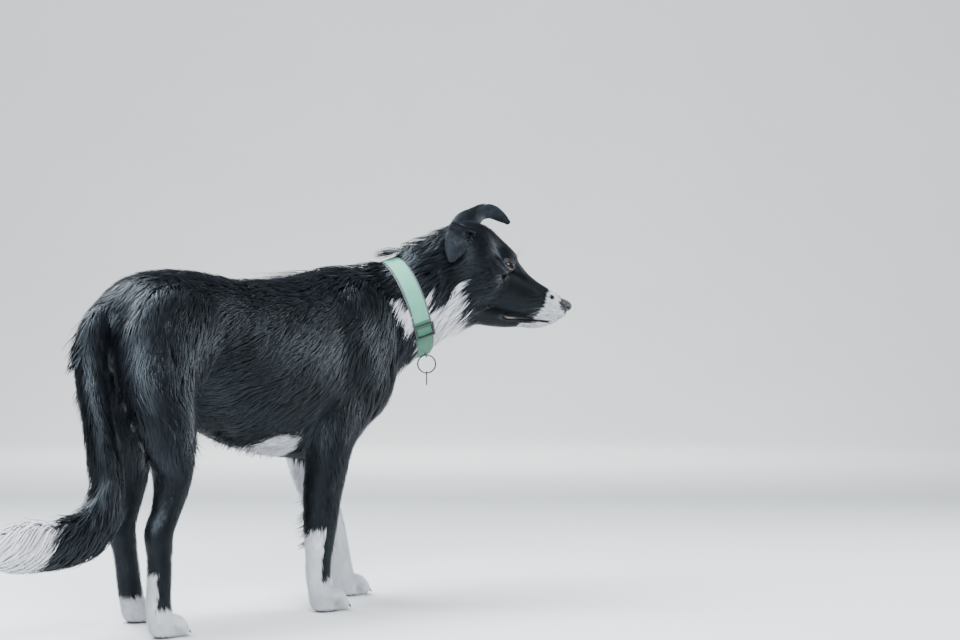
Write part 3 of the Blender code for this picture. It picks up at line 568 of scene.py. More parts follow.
def nose_reach(local, margin):
    """How far points are from the nose's middle, as a share of its size with a margin."""
    return np.linalg.norm((local - NOSE_AT) / (np.array(NOSE_RADII) + margin), axis=1)


def eye_axes(hand):
    """Out of the eye, along the lid line to the front, and across it, on the head."""
    out = turned(LID_TURN * hand, 4)
    tilt = math.radians(LID_TILT)
    front = -out[:, 1] * hand
    return out[:, 0], front * math.cos(tilt) + out[:, 2] * math.sin(tilt), \
        out[:, 2] * math.cos(tilt) - front * math.sin(tilt)


def lids(local, hand):
    """Along, across and out of the lids, their opening, the way out of it, the reach."""
    away = local - eye_spot(hand)
    c, a, b = (away @ axis for axis in eye_axes(hand))
    open_to = 1 - (a / LID_HALF) ** 2
    gap = np.maximum(b - LID_UPPER * open_to, -b - LID_LOWER * open_to)
    return a, b, c, open_to, gap, np.linalg.norm(away, axis=1)


def face_detail(local, found):
    """Lids, mouth, whisker pads and the lips' groove cut into the head's skin, in mm."""
    for hand in (-1, 1):
        near = np.flatnonzero(((local - eye_spot(hand)) ** 2).sum(1) < 24 ** 2)
        if not len(near):
            continue
        a, b, c, open_to, gap, r = lids(local[near], hand)
        # The almond between the lids is cut down to under the ball's face.
        gap /= np.sqrt(1 + (10 * a / LID_HALF ** 2) ** 2)
        gap = np.maximum(np.maximum(gap, 3 - c), EYE_RADIUS - 1.4 - r)
        d = smooth_max(found[near], -gap, 0.8)
        # A fold over the upper lid and a soft bag under the lower one.
        for fold, half, wide, tall in (
                (b - (LID_UPPER + 3.6) * open_to - 0.6, 8, 1.1, 0.55),
                (b + (LID_LOWER + 3.2) * open_to, 7, 1.2, 0.35)):
            fold = abs(fold) + np.maximum(abs(a) - half, 0)
            d = d + tall * np.exp(-(fold / wide) ** 2) * (c > 2)
        found[near] = d
    near = np.flatnonzero((local[:, 0] > 15) & (local[:, 2] < -20))
    if len(near):
        p = local[near].copy()
        p[:, 1] = abs(p[:, 1])
        d = smooth_max(found[near], 1.7 - mouth_gap(p), 1.2)
        d = d - 0.7 * np.exp(-(mouth_gap(p, 2.6) / 2.0) ** 2)
        pad = np.linalg.norm((p - (84, 15, -31)) / (20, 9, 13), axis=1)
        d = d - 1.2 * np.exp(-pad ** 2 * 1.5)
        split = p[:, 1] + np.maximum(p[:, 2] + 22, 0) + np.maximum(100 - p[:, 0], 0)
        found[near] = d + 0.9 * np.exp(-(split / 0.9) ** 2)
    return found


def skin_measure(points):
    total, coat = read(points)
    found = total + coat * SKIN_DEPTH
    local = head_local(points)
    near = np.flatnonzero((local[:, 0] > -30) & (abs(local[:, 1]) < 50) & (abs(found) < 0.03))
    if len(near):
        found[near] = face_detail(local[near], found[near] / MM) * MM
    return found


CORNERS = [(i, j, k) for i in (0, 1) for j in (0, 1) for k in (0, 1)]


def shifted(grid, corner):
    """The grid's values at one corner of every cell."""
    return grid[tuple(slice(c, n - 1 + c) for c, n in zip(corner, grid.shape))]


def split_cells():
    """The 256 corner patterns of a cell whose two sides are not both in one piece."""
    def pieces(group):
        left, count = set(group), 0
        while left:
            count += 1
            queue = [left.pop()]
            while queue:
                a = CORNERS[queue.pop()]
                near = [b for b in left if sum(abs(p - q) for p, q in zip(a, CORNERS[b])) == 1]
                left -= set(near)
                queue += near
        return count

    return np.array([any(pieces([n for n in range(8) if (code >> n & 1) == side]) > 1
                         for side in (0, 1)) for code in range(256)])


def untangle(value, depth):
    """Carve away grid points until every cell is cut by one clean sheet."""
    split = split_cells()
    for _ in range(40):
        inside = value < 0
        code = sum(shifted(inside, c).astype(np.int16) << n for n, c in enumerate(CORNERS))
        bad = np.argwhere(split[code])
        if not len(bad):
            break
        for c in CORNERS:
            at = tuple((bad + c).T)
            value[at] = np.maximum(value[at], depth)


def surface_nets(value, low, step):
    """Quads round the places where the grid's value changes sign."""
    inside, ways = value < 0, np.eye(3, dtype=int)
    count = sum(shifted(inside, c).astype(np.int8) for c in CORNERS)
    cells = np.argwhere((count > 0) & (count < 8))
    number = np.full(count.shape, -1, np.int64)
    number[tuple(cells.T)] = np.arange(len(cells))
    total, hits = np.zeros((len(cells), 3)), np.zeros(len(cells))
    for c in CORNERS:
        for way in ways[np.array(c) == 0]:
            va, vb = value[tuple((cells + c).T)], value[tuple((cells + c + way).T)]
            cross = (va < 0) != (vb < 0)
            t = np.where(cross, va / np.where(cross, va - vb, 1), 0)
            total += np.where(cross[:, None], np.array(c, float) + way * t[:, None], 0)
            hits += cross
    faces = []
    for axis in range(3):
        a, b = (axis + 1) % 3, (axis + 2) % 3
        first = tuple(slice(0, -1) if i == axis else slice(None) for i in range(3))
        last = tuple(slice(1, None) if i == axis else slice(None) for i in range(3))
        edge = np.argwhere(inside[first] != inside[last])
        edge = edge[(edge[:, a] > 0) & (edge[:, b] > 0)]
        around = (edge - ways[a] - ways[b], edge - ways[b], edge, edge - ways[a])
        quad = np.stack([number[tuple(at.T)] for at in around], 1)
        flip = ~inside[tuple(edge.T)]
        quad[flip] = quad[flip][:, ::-1]
        faces.append(quad)
    return low + (cells + total / hits[:, None]) * step, np.concatenate(faces)


def skinned(measure, low, high, step, settle=2):
    """The surface of a measured shape, found coarsely and then finely."""
    low, high = np.asarray(low, float), np.asarray(high, float)
    ratio = 4
    n = np.ceil((high - low) / (step * ratio)).astype(int) + 1
    grid = np.stack(np.meshgrid(*[np.arange(k) for k in n], indexing="ij"), -1)
    rough = measure(low + grid.reshape(-1, 3) * step * ratio).reshape(n)
    fine = rough.repeat(ratio, 0).repeat(ratio, 1).repeat(ratio, 2)[2:, 2:, 2:]
    size = (n - 1) * ratio + 1
    value = np.full(size, FAR)
    part = tuple(slice(0, k) for k in np.minimum(fine.shape, size))
    value[part] = fine[part]
    near = np.argwhere(abs(value) < step * ratio * 1.15 + 0.002)
    value[tuple(near.T)] = measure(low + near * step)
    untangle(value, 0.1 * step)
    verts, faces = surface_nets(value, low, step)
    for _ in range(settle):
        slope = slope_of(measure, verts, step * 0.12)
        length = np.maximum((slope ** 2).sum(1), 0.2)
        verts = verts - slope * np.clip(measure(verts) / length, -step, step)[:, None]
    return verts, faces


def noise(points, scale, seed, octaves=1):
    """A smooth even noise of about -1 to 1, as a sum of waves."""
    rng = np.random.default_rng(seed)
    total = np.zeros(len(points))
    for octave in range(octaves):
        for _ in range(9):
            way = unit(rng.normal(size=3)) * 2 * math.pi / (scale * rng.uniform(0.7, 1.5))
            total += np.sin(points @ way * 2 ** octave + rng.uniform(0, 6.3)) / 2 ** octave
    return total / 3.2


def step_between(low, high, x):
    t = np.clip((x - low) / (high - low), 0, 1)
    return t * t * (3 - 2 * t)


# ---------------------------------------------------------------- markings

def whiteness(points):
    """How white the coat is, from 0 to 1, by the marks of the breed."""
    p = points / MM
    local = head_local(points)
    f, s, u = local.T
    a, b, c = neck_local(points).T
    x, y, z = p.T
    rag = noise(points, 0.016, 11) * 3.0 + noise(points, 0.006, 12) * 2.0
    fine = noise(points, 0.004, 13)
    white = np.zeros(len(points))

    def mark(depth, where=None, soft=2.5, ragged=0.6):
        nonlocal white
        found = step_between(-soft, soft, depth + rag * ragged + fine)
        white = np.maximum(white, found if where is None else found * where)

    # The tail's tip.
    mark(-374 - x + (z - 140) * 0.22, (x < -300) & (z < 260), 6)
    # The whole far foreleg, and the rear of the near one down to a white foot.
    fore = (x > 40) & (z < 300)
    mark(212 - z + (y - 40) * 0.9 - abs(x - 176) * 0.2, fore & (y > 12), 4)
    back = np.minimum(120 - z + (x - 85) * 0.3, 91 - x + (z - 118) * 0.04)
    mark(np.maximum(back, 50 - z + (x - 100) * 0.35), fore & (y <= 0), 2)
    # Hind feet, and a narrow stripe up the back of each.
    hind = (x < -90) & (z < 140) & (x > -262) & (abs(y) > 30)
    mark(38 - z, hind)
    rear = np.where(y > 0, -172 - x, -224 - x)
    mark(np.minimum(rear, np.where(y > 0, 50, 84) - z), hind, 2)
    # A patch under the chest, and the pale groin.
    patch = 1 - ((x - 34) / 48) ** 2 - ((z - 228) / 30) ** 2
    mark(patch * 20, (abs(y) < 95) & (x < 62), 3, 2.0)
    groin = 1 - ((x + 117) / 15) ** 2 - (y / 64) ** 2 - ((z - 270) / 28) ** 2
    mark(groin * 12, None, 4)
    # The bib, the throat, and the white that shows on both sides behind the collar.
    bib = 1 - ((y + 10) / 27) ** 2 - ((z - 364) / 62) ** 2
    mark(bib * 16, x > 226, 4)
    top = np.interp(a, (-31, -14, 8, 15, 29, 40, 53, 64, 79, 90),
                    (27, 1, -2, -4, -13, -23, -8, -4, 9, 9))
    edge = np.interp(c, (-78, -62, -45, -10, 9), (82, 74, 66, 77, 84))
    behind = np.minimum(np.minimum(top - c, c + 30), (a + 31) * 0.8)
    mark(np.where(a < -8, behind, np.minimum(top - c, edge - a)), (a > -34) & (f < 6), 2.5, 1.3)
    # The muzzle's end, and a strip of the chin.
    muzzle = f - 76 + np.where(u > -6, (u + 6) * -0.1, 0) + abs(u + 30) * -0.06
    mark(muzzle, (f > 40) & (abs(s) < 40), 2)
    chin = np.minimum(f - 56, -68 - u + (f - 60) * 0.5)
    mark(chin, (f > 20) & (abs(s) < 30), 2)
    # The hair thins to grey skin round the nose, with freckles on the lips.
    white *= 1 - 0.78 * step_between(1.16, 0.92, nose_reach(local, 5.0) + 0.12 * fine)
    freckle = step_between(0.45, 0.75, noise(points, 0.0022, 61)) * (f > 60) * (u < -20)
    white *= 1 - 0.6 * freckle
    # One dark spot on each side of the white muzzle.
    for spot in ((85, -13, -11), (92, 15, -22)):
        white *= step_between(0.7, 1.25, np.linalg.norm((local - spot) / (4.5, 9, 4), axis=1))
    return np.clip(white, 0, 1)


# ---------------------------------------------------------------- mesh helpers

def linked(name, data):
    """A new object in the scene."""
    obj = bpy.data.objects.new(name, data)
    bpy.context.scene.collection.objects.link(obj)
    return obj


def added(mesh, look=None):
    """The object of a mesh, shaded smooth."""
    mesh.polygons.foreach_set("use_smooth", np.ones(len(mesh.polygons), bool))
    if look:
        mesh.materials.append(look)
    return linked(mesh.name, mesh)


def mesh_object(name, verts, faces, look=None):
    """An object from millions of points at once; faces are all of one size."""
    faces = np.asarray(faces, np.int32)
    mesh = bpy.data.meshes.new(name)
    mesh.vertices.add(len(verts))
    mesh.vertices.foreach_set("co", np.asarray(verts, np.float32).ravel())
    mesh.loops.add(faces.size)
    mesh.loops.foreach_set("vertex_index", faces.ravel())
    mesh.polygons.add(len(faces))
    mesh.polygons.foreach_set("loop_start", np.arange(len(faces), dtype=np.int32) * faces.shape[1])
    mesh.update(calc_edges=True)
    mesh.validate()
    return added(mesh, look)


def mended(obj, weld=False, fill=False):
    """Weld poles, close open ends, and turn every face outward."""
    made = bmesh.new()
    made.from_mesh(obj.data)
    if weld:
        bmesh.ops.remove_doubles(made, verts=made.verts, dist=1e-6)
    if fill:
        bmesh.ops.holes_fill(made, edges=made.edges, sides=0)
    bmesh.ops.recalc_face_normals(made, faces=made.faces)
    made.to_mesh(obj.data)
    made.free()
    return obj


def lattice(rows, cols, closed=False):
    """Quads between rows of points; each row is a ring, and so is the whole if closed."""
    i, k = np.divmod(np.arange((rows if closed else rows - 1) * cols), cols)
    here, there, n = i * cols, (i + 1) % rows * cols, (k + 1) % cols
    return np.stack((here + k, here + n, there + n, there + k), 1)


def circle(radius, sides):
    turn = 2 * math.pi * np.arange(sides) / sides
    return np.c_[np.cos(turn), np.sin(turn)] * radius


def swept(spots, ones, twos, profile):
    """Rings of points: a flat profile set along two axes at each spot of a path."""
    across, over = np.asarray(profile).T[:, :, None]
    return spots[:, None] + ones[:, None] * across + twos[:, None] * over


def solid(name, rings, look, closed=True, **mend):
    """A closed object from rings of points, in mm and the builder's axes."""
    faces = lattice(*rings.shape[:2], closed)
    obj = mesh_object(name, to_frame(rings.reshape(-1, 3) * MM), faces, look)
    return mended(obj, **mend)


def paint(obj, name, values):
    """A float colour for each point, read by the material by its name."""
    values = np.asarray(values, np.float32)
    if values.ndim == 1:
        values = np.repeat(values[:, None], 3, 1)
    layer = obj.data.attributes.new(name, "FLOAT_COLOR", "POINT")
    layer.data.foreach_set("color", np.c_[values, np.ones(len(values), np.float32)].ravel())


def flat_map(obj, uv):
    """The OFBake map, from one pair of numbers for each point."""
    layer = obj.data.uv_layers.new(name="OFBake")
    index = np.empty(len(obj.data.loops), np.int32)
    obj.data.loops.foreach_get("vertex_index", index)
    layer.data.foreach_set("uv", np.asarray(uv, np.float32)[index].ravel())


def find_shift():
    """From the builder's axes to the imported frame, by the right eye."""
    low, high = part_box("eye_right")
    return (np.array(low) + np.array(high)) / 2 - on_head(eye_spot(-1)) * MM


SHIFT = find_shift()


# ---------------------------------------------------------------- materials

class Nodes:
    """A short way to wire a material."""

    def __init__(self, name, colour, rough, **sockets):
        self.material = bpy.data.materials.new(name)
        self.material.use_nodes = True
        self.tree = self.material.node_tree
        self.shader = self.tree.nodes["Principled BSDF"]
        for key, value in dict(sockets, Base_Color=colour, Roughness=rough).items():
            self.feed(self.shader, key.replace("_", " "), value)

    def feed(self, node, key, value):
        """Link or set one input; a colour gets its alpha."""
        socket = node.inputs[key]
        if isinstance(value, bpy.types.NodeSocket):
            self.tree.links.new(value, socket)
        else:
            socket.default_value = (*value, 1) if socket.type == "RGBA" else value

    def add(self, kind, inputs, **settings):
        node = self.tree.nodes.new(kind)
        for key, value in settings.items():
            setattr(node, key, value)
        for key, value in inputs.items():
            self.feed(node, key, value)
        return node

    def attribute(self, name, output="Fac"):
        return self.add("ShaderNodeAttribute", {}, attribute_name=name).outputs[output]

    def spot(self):
        return self.add("ShaderNodeTexCoord", {}).outputs["Object"]

    def noise(self, vector, scale, detail=2.0, rough=0.5):
        return self.add("ShaderNodeTexNoise", {"Vector": vector, "Scale": scale, "Detail": detail,
                                               "Roughness": rough}).outputs["Fac"]

    def stretched(self, vector, scale, detail):
        """Noise drawn out by its own scale along each axis."""
        made = self.add("ShaderNodeMapping", {"Vector": vector, "Scale": scale})
        return self.noise(made.outputs[0], 1.0, detail)

    def math(self, kind, a, b=0.0, c=0.5):
        return self.add("ShaderNodeMath", {0: a, 1: b, 2: c}, operation=kind).outputs[0]

    def ramp(self, value, *stops):
        made = self.add("ShaderNodeValToRGB", {"Fac": value})
        elements = made.color_ramp.elements
        while len(elements) < len(stops):
            elements.new(0.5)
        for element, (at, colour) in zip(elements, stops):
            element.position = at
            element.color = (*colour, 1)
        return made.outputs["Color"]

    def mask(self, value, low, high, share=None):
        """Black below and white above, as a share of another number if given."""
        made = self.ramp(value, (low, (0, 0, 0)), (high, (1, 1, 1)))
        return made if share is None else self.math("MULTIPLY", made, share)

    def mix(self, share, a, b, kind="MIX"):
        return self.add("ShaderNodeMix", {"Factor": share, 6: a, 7: b}, data_type="RGBA",
                        blend_type=kind).outputs[2]

    def finish(self, colour, height=None, strength=0.0, distance=0.0):
        """Link the colour and a bump, and give the material."""
        self.feed(self.shader, "Base Color", colour)
        if height is not None:
            bump = self.add("ShaderNodeBump", {"Height": height, "Strength": strength,
                                               "Distance": distance})
            self.feed(self.shader, "Normal", bump.outputs["Normal"])
        return self.material


def coat_material():
    """Hair: black or white by its mark, each lock a little lighter or darker; the tone also
    carries painted sheen, rim light and shade.
    """
    n = Nodes("coat", (0.02, 0.02, 0.022), 0.36, Specular_IOR_Level=0.30,
              Specular_Tint=(0.78, 0.91, 1.0), Sheen_Weight=0.02, Sheen_Roughness=0.4,
              Sheen_Tint=(0.50, 0.64, 0.80))
    tone = n.attribute("tone")
    black = n.ramp(tone, (0.0, (0.0018, 0.0020, 0.0027)), (0.5, (0.0042, 0.0048, 0.0064)),
                   (0.8, (0.011, 0.0128, 0.0165)), (1.0, (0.032, 0.037, 0.046)))
    white = n.ramp(tone, (0.0, (0.46, 0.45, 0.48)), (0.5, (0.70, 0.69, 0.72)),
                   (1.0, (0.86, 0.85, 0.87)))
    return n.finish(n.mix(n.attribute("white"), black, white))


def skin_material():
    """Short hair seen between the locks: the same marks, with a combed grain."""
    n = Nodes("skin", (0.02, 0.02, 0.022), 0.5, Specular_IOR_Level=0.3)
    comb = n.attribute("comb", "Vector")
    grain = n.noise(comb, 900.0, 3.0, 0.6)
    tone = n.math("MULTIPLY_ADD", grain, 0.75, 0.1)
    black = n.ramp(tone, (0.2, (0.0014, 0.0016, 0.0020)), (0.8, (0.013, 0.0145, 0.018)))
    white = n.ramp(tone, (0.2, (0.44, 0.42, 0.44)), (0.8, (0.74, 0.73, 0.75)))
    bare = n.ramp(grain, (0.3, (0.012, 0.011, 0.012)), (0.75, (0.035, 0.031, 0.032)))
    pale = n.ramp(grain, (0.3, (0.22, 0.18, 0.16)), (0.75, (0.42, 0.35, 0.32)))
    colour = n.mix(n.attribute("white"), black, white)
    colour = n.mix(n.attribute("bare"), colour, bare)
    # The pale rims of the lids and the tear line, and the lip's edge, which is partly a painted
    # highlight.
    colour = n.mix(n.attribute("rim"), colour, pale)
    return n.finish(colour, n.mix(0.4, grain, n.noise(comb, 260.0)), 0.55, 0.0006)


def eye_material():
    n = Nodes("eye", (0.05, 0.02, 0.01), 0.12, Specular_IOR_Level=0.1, Coat_Weight=0.1,
              Coat_Roughness=0.02, Coat_IOR=1.45)
    ring = n.attribute("ring")
    streak = n.noise(n.attribute("spoke", "Vector"), 7.0, 4.0, 0.65)
    iris = n.ramp(streak, (0.25, (0.010, 0.004, 0.002)), (0.55, (0.020, 0.009, 0.004)),
                  (0.8, (0.040, 0.020, 0.008)))
    pupil = n.ramp(ring, (0.0, (0.001, 0.001, 0.001)), (0.235, (0.001, 0.001, 0.001)),
                   (0.26, (1, 1, 1)), (0.60, (1, 1, 1)), (0.70, (0.10, 0.08, 0.07)))
    white = n.ramp(n.noise(n.spot(), 700.0, 3.0), (0.3, (0.022, 0.014, 0.012)),
                   (0.7, (0.060, 0.042, 0.036)))
    inner = n.mix(1.0, pupil, iris, "MULTIPLY")
    return n.finish(n.mix(n.mask(ring, 0.70, 0.80), inner, white))


def nose_material():
    n = Nodes("nose_leather", (0.03, 0.03, 0.033), 0.34, Coat_Weight=0.1, Coat_Roughness=0.22)
    pebble = n.add("ShaderNodeTexVoronoi", {"Vector": n.spot(), "Scale": 1150.0},
                   feature="DISTANCE_TO_EDGE").outputs["Distance"]
    cells = n.math("MINIMUM", n.math("MULTIPLY", pebble, 5.0), 1.0)
    base = n.mix(cells, (0.005, 0.005, 0.006), (0.018, 0.017, 0.019))
    broad = n.math("MULTIPLY", n.noise(n.spot(), 240.0), 0.5)
    return n.finish(n.mix(broad, base, (0.020, 0.018, 0.019)), cells, 0.6, 0.0004)


def claw_material():
    n = Nodes("claw", (0.06, 0.05, 0.045), 0.3)
    along = n.stretched(n.spot(), (60, 900, 900), 3.0)
    return n.finish(n.ramp(along, (0.3, (0.028, 0.023, 0.020)), (0.55, (0.085, 0.070, 0.060)),
                           (0.8, (0.20, 0.17, 0.145))), along, 0.25, 0.0003)


def webbing_material(name, colour, other, heather):
    """Flat-woven strap: ribs across it, yarns along it, flecks of another colour, wear."""
    n = Nodes(name, colour, 0.62, Sheen_Weight=0.08)
    web = n.attribute("web", "Vector")
    apart = n.add("ShaderNodeSeparateXYZ", {"Vector": web})
    rib, yarn = (n.math("SINE", n.math("MULTIPLY", apart.outputs[i], 2 * math.pi / pitch))
                 for i, pitch in enumerate((0.0016, 0.0011)))
    height = n.math("MULTIPLY_ADD", n.math("MULTIPLY", rib, yarn), 0.5, 0.5)
    fleck = n.mask(n.stretched(web, (500, 1600, 1), 2.0), 0.42, 0.62, heather)
    worn = n.mask(n.noise(n.spot(), 90.0, 4.0, 0.6), 0.45, 0.8, 0.28)
    base = n.mix(n.math("MULTIPLY", height, 0.35), colour, tuple(min(1, c * 1.35) for c in colour))
    base = n.mix(worn, n.mix(fleck, base, other), tuple(c * 0.72 for c in colour))
    return n.finish(base, height, 0.5, 0.0003)


def plastic_material():
    n = Nodes("collar_plastic", (0.012, 0.016, 0.016), 0.32)
    worn = n.noise(n.spot(), 260.0, 5.0, 0.6)
    return n.finish(n.ramp(worn, (0.35, (0.008, 0.011, 0.011)), (0.7, (0.022, 0.027, 0.026))),
                    n.noise(n.spot(), 2600.0), 0.12, 0.0002)


def steel_material():
    n = Nodes("collar_steel", (0.24, 0.235, 0.23), 0.34, Metallic=1.0)
    worn = n.noise(n.spot(), 420.0, 5.0, 0.65)
    return n.finish(n.ramp(worn, (0.3, (0.040, 0.039, 0.038)), (0.6, (0.11, 0.108, 0.105)),
                           (0.85, (0.24, 0.235, 0.23))),
                    n.stretched(n.spot(), (3000, 300, 900), 2.0), 0.18, 0.0002)


def thread_material(name, colour):
    n = Nodes(name, colour, 0.6)
    twist = n.noise(n.spot(), 2400.0)
    return n.finish(n.ramp(twist, (0.3, tuple(c * 0.65 for c in colour)), (0.7, colour)),
                    twist, 0.3, 0.0002)


# ---------------------------------------------------------------- skin

def to_frame(points):
    return points + SHIFT


def comb_of(points, owner):
    """Grain coordinates: slow along the lie of the hair and quick across it."""
    local = np.zeros_like(points)
    for number in np.unique(owner):
        at = np.flatnonzero(owner == number)
        place, (middle, _, side, up, _, _) = SHAPES[number].place(points[at])
        away = points[at] - middle
        local[at, 0] = place * SHAPES[number].step * 0.14
        local[at, 1] = (away * side).sum(1)
        local[at, 2] = (away * up).sum(1)
    return local


def in_head(points, ahead):
    """Whether points lie in the head, from so far ahead of the collar's middle on."""
    return ((head_local(points)[:, 0] > -100) & (neck_local(points)[:, 0] > ahead)
            & (points[:, 2] > 0.35))


def owners_of(points, owner):
    """The skull's own forms count as its muzzle, so the whole head has one map."""
    muzzle = int(np.flatnonzero(NAMES == "muzzle")[0])
    is_ear = np.isin(NAMES[owner], EARS)
    return np.where(in_head(points, 75) & ~is_ear, muzzle, owner)


def build_skin(look):
    """One skin over the whole dog, fine on the head and coarser behind the collar."""
    def rear(points):
        total, coat = read(points)
        deep = coat * SKIN_DEPTH * step_between(0.001, 0.010, points[:, 2])
        grounded = np.maximum(total + deep, -points[:, 2])
        return np.maximum(grounded, neck_local(points)[:, 0] * MM - SEAM)

    def front(points):
        return np.maximum(skin_measure(points), -neck_local(points)[:, 0] * MM - SEAM)

    head_verts, head_faces = skinned(front, *HEAD_BOX, HEAD_STEP)
    body_verts, body_faces = skinned(rear, *BODY_BOX, BODY_STEP)
    verts = np.concatenate((head_verts, body_verts))
    faces = np.concatenate((head_faces, body_faces + len(head_verts)))
    skin = mesh_object("skin", to_frame(verts), faces, look)
    paint(skin, "white", whiteness(verts))
    paint(skin, "comb", comb_of(verts, owners_of(verts, read(verts, True)[3])))
    local = head_local(verts)
    bare, rim = np.zeros(len(verts)), np.zeros(len(verts))
    for hand in (-1, 1):
        a, b, c, _, gap, reach = lids(local, hand)
        near = (reach < 16) & (c > 1)
        bare = np.maximum(bare, near * step_between(1.9, 0.9, gap))
        low_rim = near * step_between(1.9, 1.0, gap) * step_between(-0.8, 0.5, gap)
        rim = np.maximum(rim, low_rim * step_between(1.2, -0.6, b) * 0.45)
        # A pale tear line that runs down from the front corner.
        tear = track(np.c_[a, b], ((9.5, -0.5), (13.5, -3.5), (15, -7.5)))
        rim = np.maximum(rim, step_between(2.0, 0.7, tear) * 0.55 * (c > -4))
    # The upper lip's pale edge, partly a painted highlight, strongest where it turns at the
    # corner.
    pale = step_between(1.5, 0.7, mouth_gap(local, 2.4)) * step_between(49, 40, local[:, 0])
    rim = np.maximum(rim, pale * step_between(26, 34, local[:, 0]) * 0.55)
    nose = nose_reach(local, 1.2)
    for part in (step_between(2.9, 1.9, mouth_gap(local)) * (local[:, 0] > 20),
                 step_between(1.30, 1.08, nose), step_between(0.0045, 0.003, verts[:, 2])):
        bare = np.maximum(bare, part)
    paint(skin, "bare", bare)
    paint(skin, "rim", rim)
    return skin, verts, faces


# ---------------------------------------------------------------- coat

COAT_FULL = 1.3
# A lock's length in mm: this much for each mm of the coat's depth, and a least length.
LOCK_RUN = 2.6
LOCK_LEAST = 1.6
MOST_TRIANGLES = 190000
EARS = ("ear_right", "ear_left")
THIGH_EDGE = ((-258, 50, 328), (-254, 62, 302), (-244, 68, 272), (-226, 64, 242))
# The path of the painted rim light round each flank's hollow.
FLANK_RIM_LIGHT = ((-122, 60, 334), (-96, 64, 339), (-80, 66, 332), (-65, 65, 315), (-55, 60, 295),
              (-44, 50, 273), (-26, 33, 251))


def lock_mesh(spine, width, normals):
    """Points, faces and shading normals of flat locks, from spines (locks, rings + 1, xyz)."""
    locks, knots = spine.shape[:2]
    rings = knots - 1
    way = np.empty_like(spine)
    way[:, 1:-1] = spine[:, 2:] - spine[:, :-2]
    way[:, 0] = spine[:, 1] - spine[:, 0]
    way = way[:, :rings]
    across = unit(np.cross(normals, way))
    over = unit(np.cross(way, across))
    profile = {1: (1.0,), 2: (0.8, 1.0), 3: (0.7, 1.0, 0.75)}[rings]
    half = width[:, None, None] * 0.5 * np.array(profile)[None, :, None]
    base = spine[:, :rings]
    ring = np.stack((base - across * half, base + across * half, base + over * half * 0.5), 2)
    verts = np.concatenate((ring.reshape(locks, rings * 3, 3), spine[:, -1:]), 1)
    faces, tip = [(0, 2, 1)], 3 * rings
    for r in range(rings):
        for k in range(3):
            a, b = 3 * r + k, 3 * r + (k + 1) % 3
            faces += [(a, b, tip)] if r == rings - 1 else [(a, b, a + 3), (b, b + 3, a + 3)]
    count = tip + 1
    faces = np.array(faces)[None] + (np.arange(locks) * count)[:, None, None]
    # A lock is shaded mostly as the body that it lies on.
    soft = unit(normals * 0.7 + over * 0.3)
    shade = np.stack((soft - across * 0.5, soft + across * 0.5, soft), 2)
    shade = np.concatenate((shade.reshape(locks, rings * 3, 3), soft[:, -1:]), 1)
    return verts.reshape(-1, 3), faces.reshape(-1, 3), count, unit(shade.reshape(-1, 3))


def lie_at(points, normal, lie, wild, ruffle):
    """The lie of the coat in the surface, stirred in waves and drawn down."""
    down = np.array((0.0, 0.0, -1.0))
    way = unit(lie) + down * 0.75 * np.clip(wild, 0, 1)[:, None]
    way = way - normal * (way * normal).sum(1, keepdims=True)
    way = unit(way)
    side = np.cross(normal, way)
    turn = wild * (0.24 * noise(points, 0.075, 21) + 0.09 * noise(points, 0.022, 22)
                   + 0.04 * noise(points, 0.009, 23))
    turn = turn + ruffle * 0.45 * noise(points, 0.013, 24)
    return unit(way * np.cos(turn)[:, None] + side * np.sin(turn)[:, None])


def level(points, depth):
    """Move points to a depth below the coat's outside, and give the outward normal."""
    normal = unit(slope_of(coat_outside, points, 0.0006))
    return points - normal * (coat_outside(points) + depth)[:, None], normal


def collar_pressed(points):
    """Hair is held down under the strap and stands up again beside it."""
    neck = neck_local(points)
    near = np.flatnonzero((abs(neck[:, 0]) < 34) & (np.linalg.norm(neck, axis=1) < 130))
    q = neck[near]
    tall = np.where(q[:, 2] > 0, STRAP_INSIDE[1], STRAP_INSIDE[2]) - 0.8
    reach = np.sqrt((q[:, 1] / (STRAP_INSIDE[0] - 0.8)) ** 2 + (q[:, 2] / tall) ** 2)
    free = 1.0 + 0.34 * step_between(15.6, 31, abs(q[:, 0]))
    q[:, 1:] /= np.maximum(reach / free, 1)[:, None]
    points[near] = np.array(COLLAR_AT) * MM + (q * MM) @ NECK_TURN.T
    return points


def thinness(points, owner):
    """How much wider the coat's outside is than the skin under it."""
    ratio = np.ones(len(points))
    for number in np.unique(owner):
        if SHAPES[number].name:
            at = np.flatnonzero(owner == number)
            _, (_, _, _, _, size, coat) = SHAPES[number].place(points[at])
            outer = size.mean(1)
            ratio[at] = outer / np.maximum(outer - coat[:, 0] * SKIN_DEPTH, outer * 0.3)
    return ratio


